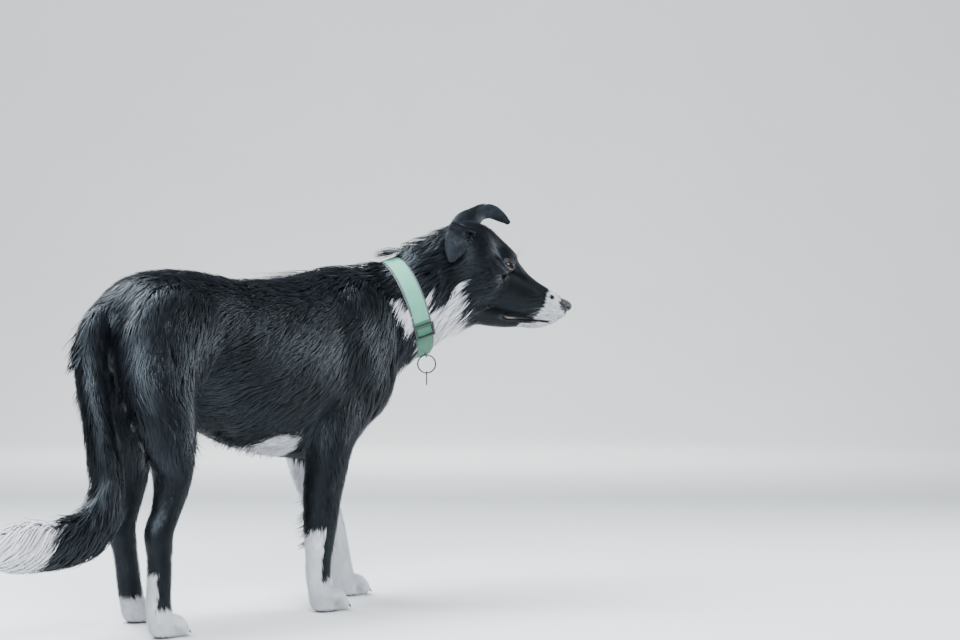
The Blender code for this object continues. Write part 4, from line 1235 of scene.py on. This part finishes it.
def grow(verts, faces):
    """Locks over the whole skin, their size taken from the depth of the coat."""
    corners = verts[faces]
    tris = np.concatenate((corners[:, (0, 1, 2)], corners[:, (0, 2, 3)]))
    cross = np.cross(tris[:, 1] - tris[:, 0], tris[:, 2] - tris[:, 0])
    area = np.linalg.norm(cross, axis=1) / 2
    middle = tris.mean(1)
    total, coat, _, owner = read(middle, True)
    local = head_local(middle)
    length = coat / MM * LOCK_RUN + LOCK_LEAST
    width = 0.42 + 0.034 * length
    cover = np.where(in_head(middle, 68), 2.6, 2.5 + 0.9 * step_between(16, 45, length))
    density = cover * COAT_FULL * thinness(middle, owner) / (0.6 * length * width)
    mirrored = np.c_[local[:, 0], abs(local[:, 1]), local[:, 2]]
    eye = np.linalg.norm(mirrored - EYE_AT, axis=1)
    bare = (nose_reach(local, 1.2) < 1.0) | (eye < 13.0) | (lip_gap(local, 1.8) < 2.0)
    on_skin = (middle[:, 2] > 0.0035) & (total > -coat * 1.6 - 0.001) & (total < 0.002)
    density *= on_skin & ~bare
    expect = area / MM ** 2 * density
    number = np.floor(expect + RNG.random(len(expect))).astype(int)
    pick = np.repeat(np.arange(len(tris)), number)
    r1, r2 = np.sqrt(RNG.random(len(pick))), RNG.random(len(pick))
    weights = np.stack((1 - r1, r1 * (1 - r2), r1 * r2), 1)
    return comb_out((tris[pick] * weights[:, :, None]).sum(1))


def lean_together(spine, marks, pull, key):
    """Neighbouring locks lean together, so that their ends gather in points."""
    _, back, counts = np.unique(key, return_inverse=True, return_counts=True)
    for knot in range(1, spine.shape[1]):
        share = (marks[knot - 1] ** 1.5 * pull)[:, None]
        mean = np.stack([np.bincount(back, spine[:, knot, i]) for i in range(3)], 1)
        mean /= counts[:, None]
        spine[:, knot] += (mean[back] - spine[:, knot]) * share
    return RNG.uniform(-0.12, 0.12, len(spine)), RNG.normal(0, 0.06, len(counts))[back]


def comb_out(root):
    """Spines, widths and tones of locks that grow from these roots."""
    _, coat, lie, owner = read(root, True)
    owner = owners_of(root, owner)
    names = NAMES[owner]
    length = coat * LOCK_RUN + LOCK_LEAST * MM
    size = RNG.uniform(0.75, 1.2, len(root))
    lush = step_between(0.004, 0.012, coat)
    wild = 0.16 + 0.84 * lush
    wild = np.where(names == "muzzle", np.minimum(wild, 0.3), wild)
    normal = unit(slope_of(coat_outside, root, 0.0006))
    # The coat along the back is ruffled, and a few locks stand proud everywhere.
    ridge = step_between(0.80, 0.97, normal[:, 2]) * ((names == "trunk") + 0.3 * (names == "neck"))
    proud = np.where(RNG.random(len(root)) < 0.03 + 0.06 * ridge, 1.0, 0.0) * lush
    tone = 0.44 + 0.15 * noise(root, 0.045, 31) + 0.09 * noise(root, 0.012, 32)
    # The ears' hair is painted lighter, a painted sheen on the flaps.
    tone = tone + RNG.normal(0, 0.11, len(root)) + 0.30 * np.isin(names, EARS)
    stand = 0.0011 * ~np.isin(names, ("muzzle", *EARS))
    # A painted highlight of rim light in an arch round each flank's hollow, and painted shade in
    # the hollow itself.
    x, y, z = (root / MM).T
    painted_rim_light = np.exp(-(track(np.c_[x, abs(y), z], FLANK_RIM_LIGHT) / 7.0) ** 2)
    painted_hollow_shade = np.exp(-((x + 96) / 28) ** 2 - ((z - 288) / 36) ** 2) * (abs(y) > 15)
    tone = tone + 0.34 * painted_rim_light - 0.30 * painted_hollow_shade
    rings = np.where(length < 0.0135, 1, np.where(length < 0.040, 2, 3))
    groups = []
    for kind, marks, share in ((1, (1.0,), (0.5, 0.5)), (2, (0.42, 1.0), (0.65, 0.35)),
                               (3, (0.27, 0.62, 1.0), (1.0, 0.0))):
        at = np.flatnonzero(rings == kind)
        if not len(at):
            continue
        run = (length * size)[at] * (1 + 0.25 * proud[at])
        spine, normals = [root[at] - normal[at] * 0.0004], [normal[at]]
        height = 1.08 - 0.5 * RNG.random(len(at)) ** 2.2 + 0.16 * proud[at]
        here, here_normal, here_lie = root[at], normal[at], lie[at]
        for before, mark in zip((0.0, *marks), marks):
            way = lie_at(here, here_normal, here_lie, wild[at], ridge[at])
            here = here + way * (run * (mark - before))[:, None]
            rise = height * (1 - (1 - mark) ** 2.4) * 0.97
            _, deep, here_lie, _ = read(here, True)
            deep = np.maximum(np.minimum(deep, coat[at] * 1.3), coat[at] * 0.7)
            here, here_normal = level(here, deep * (1 - rise) - stand[at] * mark)
            spine.append(here)
            normals.append(here_normal)
        spine, normals = np.stack(spine, 1), np.stack(normals[:kind], 1)
        # Locks that a crease threw to another limb, or over the mouth, are left out.
        steps = np.linalg.norm(np.diff(spine, axis=1), axis=2).sum(1)
        clear = lip_gap(head_local(spine[:, 1]), 1.5) > 1.6
        fine = np.flatnonzero((steps < run * 1.25 + 0.003) & (steps > run * 0.5) & clear)
        spine, normals, run, at = spine[fine], normals[fine], run[fine], at[fine]
        cell = np.where(lush[at] > 0.5, 0.0075, 0.004)
        stir = np.stack([noise(root[at], 0.02, 41 + i) for i in range(3)], 1) * 0.003
        code = np.floor((root[at] + stir) / cell[:, None]).astype(np.int64)
        key = (code[:, 0] * 73856093) ^ (code[:, 1] * 19349663) ^ (code[:, 2] * 83492791)
        pull = 0.08 + 0.20 * step_between(0.010, 0.017, coat[at]) + 0.25 * ridge[at]
        spread, shade = lean_together(spine, marks, pull, key)
        # A lock is coloured by the mark that its middle lies in.
        white = whiteness(spine[:, -2] * share[0] + spine[:, -1] * share[1]) + spread
        # The painted rim light also paints a trace of white on those locks.
        white = np.maximum(step_between(0.30, 0.70, white), 0.045 * painted_rim_light[at])
        spine = collar_pressed(spine.reshape(-1, 3)).reshape(spine.shape)
        spine[:, :, 2] = np.maximum(spine[:, :, 2], 0.0008)
        thick = (0.00042 + 0.034 * run) * RNG.uniform(0.8, 1.25, len(at))
        groups.append((spine, thick, normals, white, np.clip(tone[at] + shade, 0, 1), owner[at]))
    return groups


REGIONS = {
    "neck": ("neck",),
    "head": ("muzzle", "bridge", "jaw", "ear_right", "ear_left"),
    "tail": ("tail",),
    "forelegs": ("foreleg_right", "foreleg_left", "forepaw_right", "forepaw_left"),
    "hindlegs": ("hind_leg_right", "hind_leg_left", "hind_foot_right", "hind_foot_left"),
}


def region_of(names, root):
    """Which coat piece a lock belongs to."""
    made = np.where(root[:, 1] > 0, "trunk_left", "trunk_right")
    for region, limbs in REGIONS.items():
        made[np.isin(names, limbs)] = region
    return made


def unwrapped(points, owner):
    """A flat map of the skin: one strip for each limb, along it and round it."""
    uv = np.zeros((len(points), 2))
    kinds = sorted(set(owner.tolist()))
    columns = math.ceil(math.sqrt(len(kinds)))
    rows = math.ceil(len(kinds) / columns)
    for n, number in enumerate(kinds):
        at = np.flatnonzero(owner == number)
        flat = SHAPES[number].unwrap(points[at])
        if SHAPES[number].name == "muzzle":
            f, s, u = head_local(points[at]).T
            flat = np.c_[(f + 125) / 250, np.arctan2(s, u + 25) / (2 * math.pi) + 0.5]
        cell = np.array((n % columns, n // columns)) + 0.03 + np.clip(flat, 0, 1) * 0.94
        uv[at] = cell / (columns, rows)
    return uv


def coat_piece(name, groups, cuts, look):
    """One object of the locks that each group's cut names."""
    built, start = [], 0
    for (spine, width, normals, white, tone, owner), cut in zip(groups, cuts):
        if not len(cut):
            continue
        v, f, count, bend = lock_mesh(spine[cut], width[cut], normals[cut])
        spot = np.repeat(unwrapped(spine[cut, 0], owner[cut]), count, 0)
        k = np.arange(len(v)) % count
        spot[:, 0] += ((k % 3) - 1) * 0.0013
        spot[:, 1] += (k // 3) / max(count // 3, 1) * 0.0026 - 0.0013
        built.append((v, f + start, np.repeat(white[cut], count), np.repeat(tone[cut], count),
                      spot, bend))
        start += len(v)
    v, f, white, tone, spot, bend = (np.concatenate(a) for a in zip(*built))
    obj = mesh_object(name, to_frame(v), f, look)
    obj.data.normals_split_custom_set_from_vertices(bend)
    paint(obj, "white", white)
    paint(obj, "tone", tone)
    flat_map(obj, spot)
    return obj


def build_coat(verts, faces, look):
    """The coat's pieces: one for each region, cut from rear to front where it is large."""
    parts = {}
    for group in grow(verts, faces) + tufts():
        region = region_of(NAMES[group[-1]], group[0][:, 0])
        for name in sorted(set(region)):
            at = np.flatnonzero(region == name)
            parts.setdefault(name, []).append([a[at] for a in group])
    made = []
    for name, groups in parts.items():
        # A lock of two, three or four knots has 4, 10 or 16 triangles.
        each = sum(len(g[0]) * (6 * g[0].shape[1] - 8) for g in groups)
        pieces = math.ceil(each / MOST_TRIANGLES)
        cuts = [np.array_split(np.argsort(g[0][:, 0, 0], kind="stable"), pieces) for g in groups]
        for piece in range(pieces):
            label = f"coat_{name}" + (f"_{piece + 1}" if pieces > 1 else "")
            made.append(coat_piece(label, groups, [cut[piece] for cut in cuts], look))
    return made


def tuft_places():
    """Middle, spread, way, length, droop, count and tone of each tuft."""
    nape = NECK_TURN @ unit((-0.9, 0.15, 0.36))
    made = [(on_neck((16, -8, 80)), (6, 15, 3), nape, 36, 0.1, 90, 0.40)]
    for hand in (-1, 1):
        # Wisps behind the ear with a painted highlight that makes them pale, and hair over the
        # ear's opening.
        way = HEAD_TURN @ unit((-0.25, 0.15 * hand, -1))
        for f, s, u, count in ((-104, 45, -34, 22), (-98, 50, -50, 22), (-92, 55, -62, 16)):
            made.append((on_head((f, s * hand, u)), (4, 2, 6), way, 18, 0.1, count, 0.98))
        made.append((on_head((-74, 50 * hand, 9)), (5, 3, 6),
                     HEAD_TURN @ unit((-0.8, 0.35 * hand, -0.45)), 14, 0.1, 130, 0.6))
        # Feathering down the back of the forearm.
        for z in (196, 172, 148, 124):
            made.append(((75 if hand < 0 else 151, 50 * hand, z), (3, 6, 12),
                         (-0.72, 0, -0.70), 17, 0.06, 80, 0.30))
    # The flare of the tail's root, the thighs' rear edge, the belly's fringe, the chest.
    for z in (452, 430, 408, 386):
        made.append(((-286, 0, z), (6, 20, 12), (-0.42, 0, -0.90), 44, 0.02, 110, 0.45))
    for x, y, z in THIGH_EDGE:
        for hand in (-1, 1):
            made.append(((x + (30 if hand > 0 else 0), y * hand, z), (4, 4, 11),
                         (-0.35, 0, -0.94), 27, 0.02, 70, 0.35))
    for x in range(-70, 56, 18):
        made.append(((x, -26, 228), (12, 22, 9), (-0.85, 0, -0.55), 23, 0.04, 50, 0.35))
    for z in (350, 322, 294, 268):
        made.append(((250, -6, z), (5, 16, 14), (0.10, 0, -1), 26, 0.03, 60, 0.35))
    return made


def tufts():
    """Longer locks at the places that tuft_places lists."""
    groups = []
    for middle, spread, way, length, droop, count, tone in tuft_places():
        root = (np.asarray(middle) + RNG.normal(0, 0.5, (count, 3)) * spread) * MM
        for _ in range(3):
            root, normal = level(root, np.full(count, 0.006))
        run = length * MM * RNG.uniform(0.6, 1.15, count)
        here = np.asarray(way) + RNG.normal(0, 0.16, (count, 3))
        spine = [root]
        for mark, before in ((0.3, 0), (0.64, 0.3), (1.0, 0.64)):
            here = unit(here + np.array((0, 0, -droop)))
            spine.append(spine[-1] + here * (run * (mark - before))[:, None])
        spine = np.stack(spine, 1)
        spine[:, 3] += (spine[:, 3].mean(0) - spine[:, 3]) * 0.25
        groups.append((spine, (0.0006 + 0.028 * run) * RNG.uniform(0.8, 1.2, count),
                       np.repeat(normal[:, None], 3, 1), (whiteness(root) > 0.5) * 1.0,
                       np.clip(RNG.normal(tone, 0.14, count), 0, 1),
                       owners_of(root, read(root, True)[3])))
    return groups


# ---------------------------------------------------------------- eyes, nose, claws

def build_eye(hand, name, look):
    """A ball with the bulge of the cornea; the iris is told by a ring number."""
    out, front, over = eye_axes(hand)
    a = math.pi * np.linspace(0, 1, 45)[:, None] ** 1.25
    radius = EYE_RADIUS - 0.25 + 0.8 * np.maximum(0.0, 1 - (a / 0.80) ** 2) ** 1.2
    rings = swept(eye_spot(hand) + out * np.cos(a) * radius, front * np.sin(a) * radius,
                  over * np.sin(a) * radius, circle(1, 64))
    eye = solid(name + "_ball", on_head(rings), look, False, weld=True)
    values = np.empty(len(eye.data.vertices) * 3, np.float32)
    eye.data.vertices.foreach_get("co", values)
    centre = on_head(eye_spot(hand)) * MM + SHIFT
    away = unit((values.reshape(-1, 3) - centre) @ HEAD_TURN)
    angle = np.arccos(np.clip(away @ out, -1, 1))
    turn = unit(np.c_[away @ front, away @ over] + 1e-9)
    paint(eye, "ring", np.clip(angle / 1.2, 0, 1))
    paint(eye, "spoke", np.c_[turn * 3, angle * 0.8])
    return eye


def build_nose(look):
    def measure(points):
        p = head_local(points)
        away = p - NOSE_AT
        k0 = np.linalg.norm(away / NOSE_RADII, axis=1)
        k1 = np.linalg.norm(away / np.array(NOSE_RADII) ** 2, axis=1)
        d = k0 * (k0 - 1) / np.maximum(k1, 1e-6)
        d = smooth_max(d, p[:, 2] - (-2.6 + (p[:, 0] - 111) * -0.05), 3.0)
        p[:, 1] = abs(p[:, 1])
        # The nostril and the slit behind it, then the wing over them and the middle groove.
        for middle, radii, thin, soft in (((122.5, 5.6, -10.5), (5.5, 2.7, 2.3), 2.3, 0.8),
                                          ((119, 9.6, -13.2), (6.5, 4.4, 1.05), 1.05, 0.7)):
            hole = np.linalg.norm((p - middle) / radii, axis=1) - 1
            d = smooth_max(d, -hole * thin, soft)
        wing = np.linalg.norm((p - (118, 8.6, -9.0)) / (4, 3, 2.4), axis=1)
        d = d - 0.55 * np.exp(-wing ** 2)
        groove = p[:, 1] + np.maximum(p[:, 2] + 9.5, 0) + np.maximum(116 - p[:, 0], 0)
        return (d + 0.9 * np.exp(-(groove / 0.75) ** 2)) * MM

    middle = on_head(NOSE_AT) * MM
    reach = 0.0165
    verts, faces = skinned(measure, middle - reach, middle + reach, 0.0006)
    return mesh_object("nose_pad", to_frame(verts), faces, look)


def tube(path, radii, sides=10):
    """Rings of points round a path, with its own radius at each of its points."""
    path, radii = np.asarray(path, float), np.asarray(radii, float)[:, None]
    way = unit(np.gradient(path, axis=0))
    guide = (0.0, 0.0, 1.0) if abs(way[0, 2]) < 0.9 else (1.0, 0.0, 0.0)
    side = unit(np.cross(guide, way))
    return swept(path, side * radii, np.cross(way, side) * radii, circle(1, sides))


def joined_tubes(name, tubes, look):
    """Closed tubes in one object."""
    mesh = bpy.data.meshes.new(name)
    verts, faces = [], []
    for rings in tubes:
        rows, sides = rings.shape[:2]
        start = len(verts)
        end = start + (rows - 1) * sides
        verts += to_frame(rings.reshape(-1, 3) * MM).tolist()
        faces += (lattice(rows, sides) + start).tolist()
        faces += [list(range(start, start + sides))[::-1], list(range(end, end + sides))]
    mesh.from_pydata(verts, [], faces)
    mesh.update()
    return added(mesh, look)


def build_claws(look):
    tubes = []
    for paw in PAWS.values():
        at, size = paw_spot(paw)[0], paw[3]
        for left, forward in TOES:
            rings = ((12, 11.4, 2.9), (17, 11.2, 2.75), (20.5, 9.6, 2.4), (23.2, 7.4, 1.8),
                     (25.2, 5.2, 1.1), (26.2, 3.8, 0.4))
            tubes.append(tube([at(forward + f, left * 1.03, up) for f, up, _ in rings],
                              [radius * size * 0.86 for _, _, radius in rings]))
    return joined_tubes("claws", tubes, look)


def hair(root, way, length, bend, thick, knots):
    """A hair that tapers and bends as it runs."""
    t = np.linspace(0, 1, knots)[:, None]
    path = on_head(root + way * length * t + np.array(bend) * length * t * t)
    return tube(path, np.linspace(thick, 0.03, knots), 5)


def build_whiskers(look, name, pale):
    """Whiskers in four rows on each side; the dark ones come with the brow's hairs."""
    rng = np.random.default_rng(5)
    tubes = []
    for hand in (-1, 1):
        for row in range(4):
            for n in range(5):
                root = np.array((94 - n * 8 + row * 1.5, (12.5 + n * 2.1) * hand,
                                 -20 - row * 5.5))
                if (root[0] > 80) != pale:
                    continue
                way = unit(np.array((-0.35 - n * 0.10, hand * 1.0, -0.18 - row * 0.16))
                           + rng.normal(0, 0.08, 3))
                length = rng.uniform(24, 40) * (0.7 if n == 0 else 1)
                tubes.append(hair(root, way, length, (-0.275, 0, -0.21), 0.20, 8))
        for n in range(0 if pale else 5):
            root = np.array((6 + rng.uniform(-3, 3), (15 + n * 1.7) * hand,
                             17 + rng.uniform(-1, 1)))
            way = unit(np.array((0.25, hand * 0.4, 1.0)) + rng.normal(0, 0.12, 3))
            tubes.append(hair(root, way, rng.uniform(16, 26), (-0.2, hand * 0.08, -0.08), 0.16, 7))
    return joined_tubes(name, tubes, look)


# ---------------------------------------------------------------- collar

def strap_section(width, low, high, crown=0.25):
    """A section with rounded corners: across the strap and out from the neck."""
    half, mid, thick = width / 2, (low + high) / 2, (high - low) / 2
    c, s = circle(1, 28).T
    x = half * np.sign(c) * abs(c) ** 0.16
    z = thick * np.sign(s) * abs(s) ** 0.35
    return np.c_[x, mid + z + np.where(s > 0, crown * (1 - (x / half) ** 2), 0)]


def ring_spot(angle):
    """Points on the strap's inside in the neck's own axes, and the way out there."""
    c, s = np.cos(angle), np.sin(angle)
    wide, tall = STRAP_INSIDE[0], np.where(s > 0, STRAP_INSIDE[1], STRAP_INSIDE[2])
    return (np.stack((0 * c, c * wide, s * tall), -1),
            unit(np.stack((0 * c, c / wide, s / tall), -1)))


def build_strap(name, look, width, low, high, start=0.0, stop=2 * math.pi, steps=220, lift=None):
    """A band round the neck, or a part of one that is lifted off it."""
    section, whole = strap_section(width, low, high), lift is None
    angle = start + (stop - start) * np.arange(steps if whole else steps + 1) / steps
    spots, out = ring_spot(angle)
    raised = spots if whole else spots + out * lift(angle)[:, None]
    rings = swept(raised, np.full_like(out, (1, 0, 0)), out, section)
    strap = solid(name, on_neck(rings), look, whole, fill=not whole)
    run = np.r_[0, np.cumsum(np.linalg.norm(np.diff(spots, axis=0), axis=1))]
    along, across = np.broadcast_arrays(run[:, None], section @ (1, 0.5))
    paint(strap, "web", np.c_[along.ravel(), across.ravel(), np.zeros(across.size)] * MM)
    return strap


def placed(name, made, origin, axes, look):
    """A bmesh in mm, set at a point of the builder's axes."""
    mesh = bpy.data.meshes.new(name)
    turn = Matrix([[axes[c][r] for c in range(3)] for r in range(3)]).to_4x4()
    spot = Matrix.Translation(Vector(np.asarray(origin) * MM + SHIFT))
    made.transform(spot @ Matrix.Scale(MM, 4) @ turn)
    bmesh.ops.recalc_face_normals(made, faces=made.faces)
    made.to_mesh(mesh)
    made.free()
    return added(mesh, look)


def joined(name, objects):
    """Several objects made one, keeping each one's material."""
    for obj in list(bpy.context.selected_objects):
        obj.select_set(False)
    for obj in objects:
        obj.select_set(True)
    bpy.context.view_layer.objects.active = objects[0]
    bpy.ops.object.join()
    objects[0].name = objects[0].data.name = name
    objects[0].select_set(False)
    return objects[0]


SLIDER_ANGLE = math.radians(209)


def build_slider(look):
    """A rounded frame with a middle bar, which the strap passes over."""
    spot, out = ring_spot(SLIDER_ANGLE)
    centre = on_neck(spot + out * (STRAP_THICK + 2.3))
    out = NECK_TURN @ out
    axes = (NECK_FORWARD, unit(np.cross(out, NECK_FORWARD)), out)
    bars = []
    for middle, size in (((0, -9.6, 0), (32, 3.0, 3.4)), ((0, 9.6, 0), (32, 3.0, 3.4)),
                         ((-14.5, 0, 0), (3.0, 22.0, 3.4)), ((14.5, 0, 0), (3.0, 22.0, 3.4)),
                         ((0, 0, -0.5), (30, 2.8, 2.6))):
        bar = bmesh.new()
        bmesh.ops.create_cube(bar, size=1.0)
        bar.transform(Matrix.Diagonal((*size, 1)))
        bmesh.ops.bevel(bar, geom=bar.edges, offset=0.9, segments=3, profile=0.7,
                        affect="EDGES")
        bar.transform(Matrix.Translation(middle))
        bars.append(placed("bar", bar, centre, axes, look))
    return joined("collar_slider_frame", bars)


def wire_ring(name, middle, x_axis, y_axis, radius, wire, look, sweep=1.0, turns=72):
    """A ring of round wire, or a part of one with closed ends."""
    x_axis, y_axis, whole = unit(x_axis), unit(y_axis), sweep >= 1
    turn = 2 * math.pi * sweep * np.arange(turns if whole else turns + 1)[:, None] / turns
    out = x_axis * np.cos(turn) + y_axis * np.sin(turn)
    over = np.full_like(out, np.cross(x_axis, y_axis))
    rings = swept(middle + out * radius, out, over, circle(wire, 14))
    return solid(name, rings, look, whole, fill=not whole)


def flat_way(degrees):
    """A level direction, turned from the trunk's own."""
    return np.array((math.cos(math.radians(degrees)), math.sin(math.radians(degrees)), 0))


def build_stitches(look):
    """A row of stitches along each edge of the strap."""
    t, tubes = np.linspace(0, 1, 5), []
    for side in (-1, 1):
        for n in range(STITCHES):
            spot, out = ring_spot(2 * math.pi / STITCHES * (n + 0.62 * t))
            rise = 3.12 + 0.16 * np.sin(math.pi * t)[:, None]
            tubes.append(tube(on_neck(spot + out * rise + (side * 9.6, 0, 0)),
                              (0.12, 0.2, 0.22, 0.2, 0.12), 6))
    return joined_tubes("collar_stitches", tubes, look)


def build_collar(looks):
    """The collar's pieces, each with the node that it replaces."""
    mint, dark, lining, plastic, steel, thread = looks

    def lift(angle):
        return 2.2 * np.exp(-((angle - SLIDER_ANGLE) / 0.10) ** 2)

    angle = math.radians(LOOP_ANGLE)
    wide, tall = STRAP_INSIDE[0] + STRAP_THICK, STRAP_INSIDE[2] + STRAP_THICK
    out = unit((0, math.cos(angle) / wide, math.sin(angle) / tall))
    low = on_neck(np.array((3, wide * math.cos(angle), tall * math.sin(angle))) + out * 0.6)
    down = NECK_TURN @ out
    side = flat_way(42)
    side = unit(side - down * (side @ down))
    facing = flat_way(-48)
    drop = low + down * LOOP_RADIUS - np.array((0, 0, RING_RADIUS - RING_WIRE - LOOP_WIRE - 0.4))
    eye = drop - np.array((0, 0, RING_RADIUS - RING_WIRE - 0.4 + TAG_HOLE))
    hang = eye - np.array((0, 0, TAG_RADIUS - TAG_HOLE - 1.4))
    return [
        (build_strap("collar_lining", lining, LINING_WIDTH, 0.05, 1.15), None),
        (build_strap("collar_band", mint, STRAP_WIDTH - 1.2, 1.1, 2.85), "collar_strap"),
        # The strap doubles back on itself below the slider.
        (build_strap("collar_fold", dark, STRAP_WIDTH - 2.0, 2.9, 3.9,
                     SLIDER_ANGLE - math.radians(11), SLIDER_ANGLE + math.radians(58), 90,
                     lift), None),
        (build_stitches(thread), None),
        (build_slider(plastic), "collar_slider"),
        (wire_ring("collar_d_loop", low, side, down, LOOP_RADIUS, LOOP_WIRE, steel, 0.5, 36),
         "collar_loop"),
        (wire_ring("collar_split_ring", drop, facing, (0, 0, -1), RING_RADIUS, RING_WIRE,
                   steel), "collar_ring"),
        (build_tag(hang, eye, facing, steel), "collar_tag"),
    ]


def build_tag(middle, hole, normal, look):
    """A plain round tag with a rolled edge and a hole near its top."""
    up = np.array((0.0, 0.0, 1.0))
    flat = np.array((np.cross(up, normal), up))
    half = ((0.0, 0.42), (0.84, 0.42), (0.90, 0.74), (0.96, 0.78), (1.0, 0.45))
    profile = half + tuple((t, -z) for t, z in half[::-1])
    rim = circle(TAG_RADIUS, 72)
    bore = circle(TAG_HOLE, 72) + (0, (hole - middle) @ up)
    rings = swept(middle + bore @ flat, (rim - bore) @ flat, np.full((72, 3), normal), profile)
    return solid("collar_plain_tag", rings, look)


# ---------------------------------------------------------------- stage

def aimed(obj, spot, way):
    obj.location = spot
    obj.rotation_euler = Vector(way).to_track_quat("-Z", "Y").to_euler()


def build_stage():
    """A pale floor that curves up far off on every side, soft lights, and a sky."""
    curl = np.linspace(0, math.pi / 2, 13)
    path = [(0.6, 0), (2.5, 0), *np.c_[5 + 3 * np.sin(curl), 3 - 3 * np.cos(curl)]]
    r, z = np.array(path).T[:, :, None]
    right, ahead, up = np.eye(3)
    rings = swept(up * z, right * r, ahead * r, circle(1, 96))
    n = Nodes("floor", (0.72, 0.73, 0.72), 0.8)
    soft = n.noise(n.spot(), 1.2, 3.0)
    floor = bpy.data.meshes.new("floor")
    floor.from_pydata(rings.reshape(-1, 3).tolist(), [],
                      [list(range(96))] + lattice(*rings.shape[:2]).tolist())
    mended(added(floor, n.finish(
        n.ramp(soft, (0.3, (0.80, 0.805, 0.80)), (0.7, (0.83, 0.835, 0.825))))))
    world = bpy.data.worlds.new("studio")
    bpy.context.scene.world = world
    world.use_nodes = True
    back = world.node_tree.nodes["Background"]
    back.inputs["Color"].default_value = (0.78, 0.87, 0.96, 1)
    back.inputs["Strength"].default_value = 0.26
    for name, spot, aim, size, power, colour in (
            ("overhead", (-0.5, 0.6, 2.3), (0, 0, 0.3), (1.8, 1.8), 200, (0.86, 0.93, 1.0)),
            ("flank", (-1.5, -2.0, 1.9), (0, 0, 0.35), (1.0, 1.0), 130, (0.88, 0.94, 1.0)),
            ("nose_side", (2.4, -1.2, 1.5), (0.3, 0, 0.4), (1.4, 1.4), 16, (0.88, 0.95, 1.0)),
            ("shoulder", (2.0, -1.25, 0.75), (0.15, -0.05, 0.33), (0.7, 0.7), 26,
             (0.90, 0.95, 1.0)),
            ("backdrop", (2.4, 2.2, 2.4), (5.4, 4.9, 0.4), (3.0, 1.5), 230, (0.97, 0.98, 1.0))):
        light = bpy.data.lights.new(name, "AREA")
        light.shape = "RECTANGLE"
        light.size, light.size_y = size
        light.energy = power
        light.color = colour
        aimed(linked(name, light), spot, Vector(aim) - Vector(spot))


CAMERA_TURN = 48.0
CAMERA_PITCH = 0.82
CAMERA_FOCAL = 71.25
CAMERA_BACK, CAMERA_RIGHT, CAMERA_HIGH = 2.698, 0.334, 0.381


def build_camera():
    turn, pitch = math.radians(CAMERA_TURN), math.radians(CAMERA_PITCH)
    right = np.array((math.cos(turn), -math.sin(turn), 0))
    ahead = np.array((math.sin(turn), math.cos(turn), 0))
    spot = -CAMERA_BACK * ahead + CAMERA_RIGHT * right + np.array((0, 0, CAMERA_HIGH)) + SHIFT
    camera = bpy.data.cameras.new("camera")
    camera.lens = CAMERA_FOCAL
    camera.sensor_width = 36.0
    obj = linked("camera", camera)
    aimed(obj, spot, ahead * math.cos(pitch) + np.array((0, 0, math.sin(pitch))))
    bpy.context.scene.camera = obj


FLESH = ("head", "neck", "trunk", "tail_root", "tail_bend", "tail_tip", "foreleg_left",
         "foreleg_right", "forepaw_left", "forepaw_right", "thigh_left", "thigh_right",
         "shank_left", "shank_right", "hind_foot_left", "hind_foot_right", "ear_left",
         "ear_right")


def keep(piece, slot, *nodes):
    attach(piece, "root")
    if nodes:
        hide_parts(*nodes)


def main():
    build_stage()
    build_camera()
    coat = coat_material()
    skin, verts, faces = build_skin(skin_material())
    keep(skin, "coat_black", *FLESH)
    for piece in build_coat(verts, faces, coat):
        keep(piece, "coat_black")
    wet = eye_material()
    for hand, name in ((-1, "eye_right"), (1, "eye_left")):
        keep(build_eye(hand, name, wet), "eye", name)
    keep(build_nose(nose_material()), "nose_leather", "nose")
    keep(build_claws(claw_material()), "claw")
    for kind, colour, slot in (("pale", (0.62, 0.60, 0.60), "coat_white"),
                               ("dark", (0.02, 0.02, 0.022), "coat_black")):
        look = thread_material("whisker_" + kind, colour)
        keep(build_whiskers(look, "whiskers_" + kind, kind == "pale"), slot)
    looks = (
        webbing_material("webbing", (0.090, 0.315, 0.210), (0.17, 0.45, 0.33), 0.35),
        webbing_material("webbing_dark", (0.012, 0.080, 0.040), (0.07, 0.24, 0.14), 0.6),
        webbing_material("lining", (0.035, 0.040, 0.042), (0.26, 0.27, 0.28), 0.4),
        plastic_material(),
        steel_material(),
        thread_material("thread", (0.20, 0.46, 0.35)),
    )
    slots = ["collar_webbing"] * 4 + ["collar_plastic"] + ["collar_steel"] * 3
    for (piece, node), slot in zip(build_collar(looks), slots):
        keep(piece, slot, *([node] if node else []))


main()
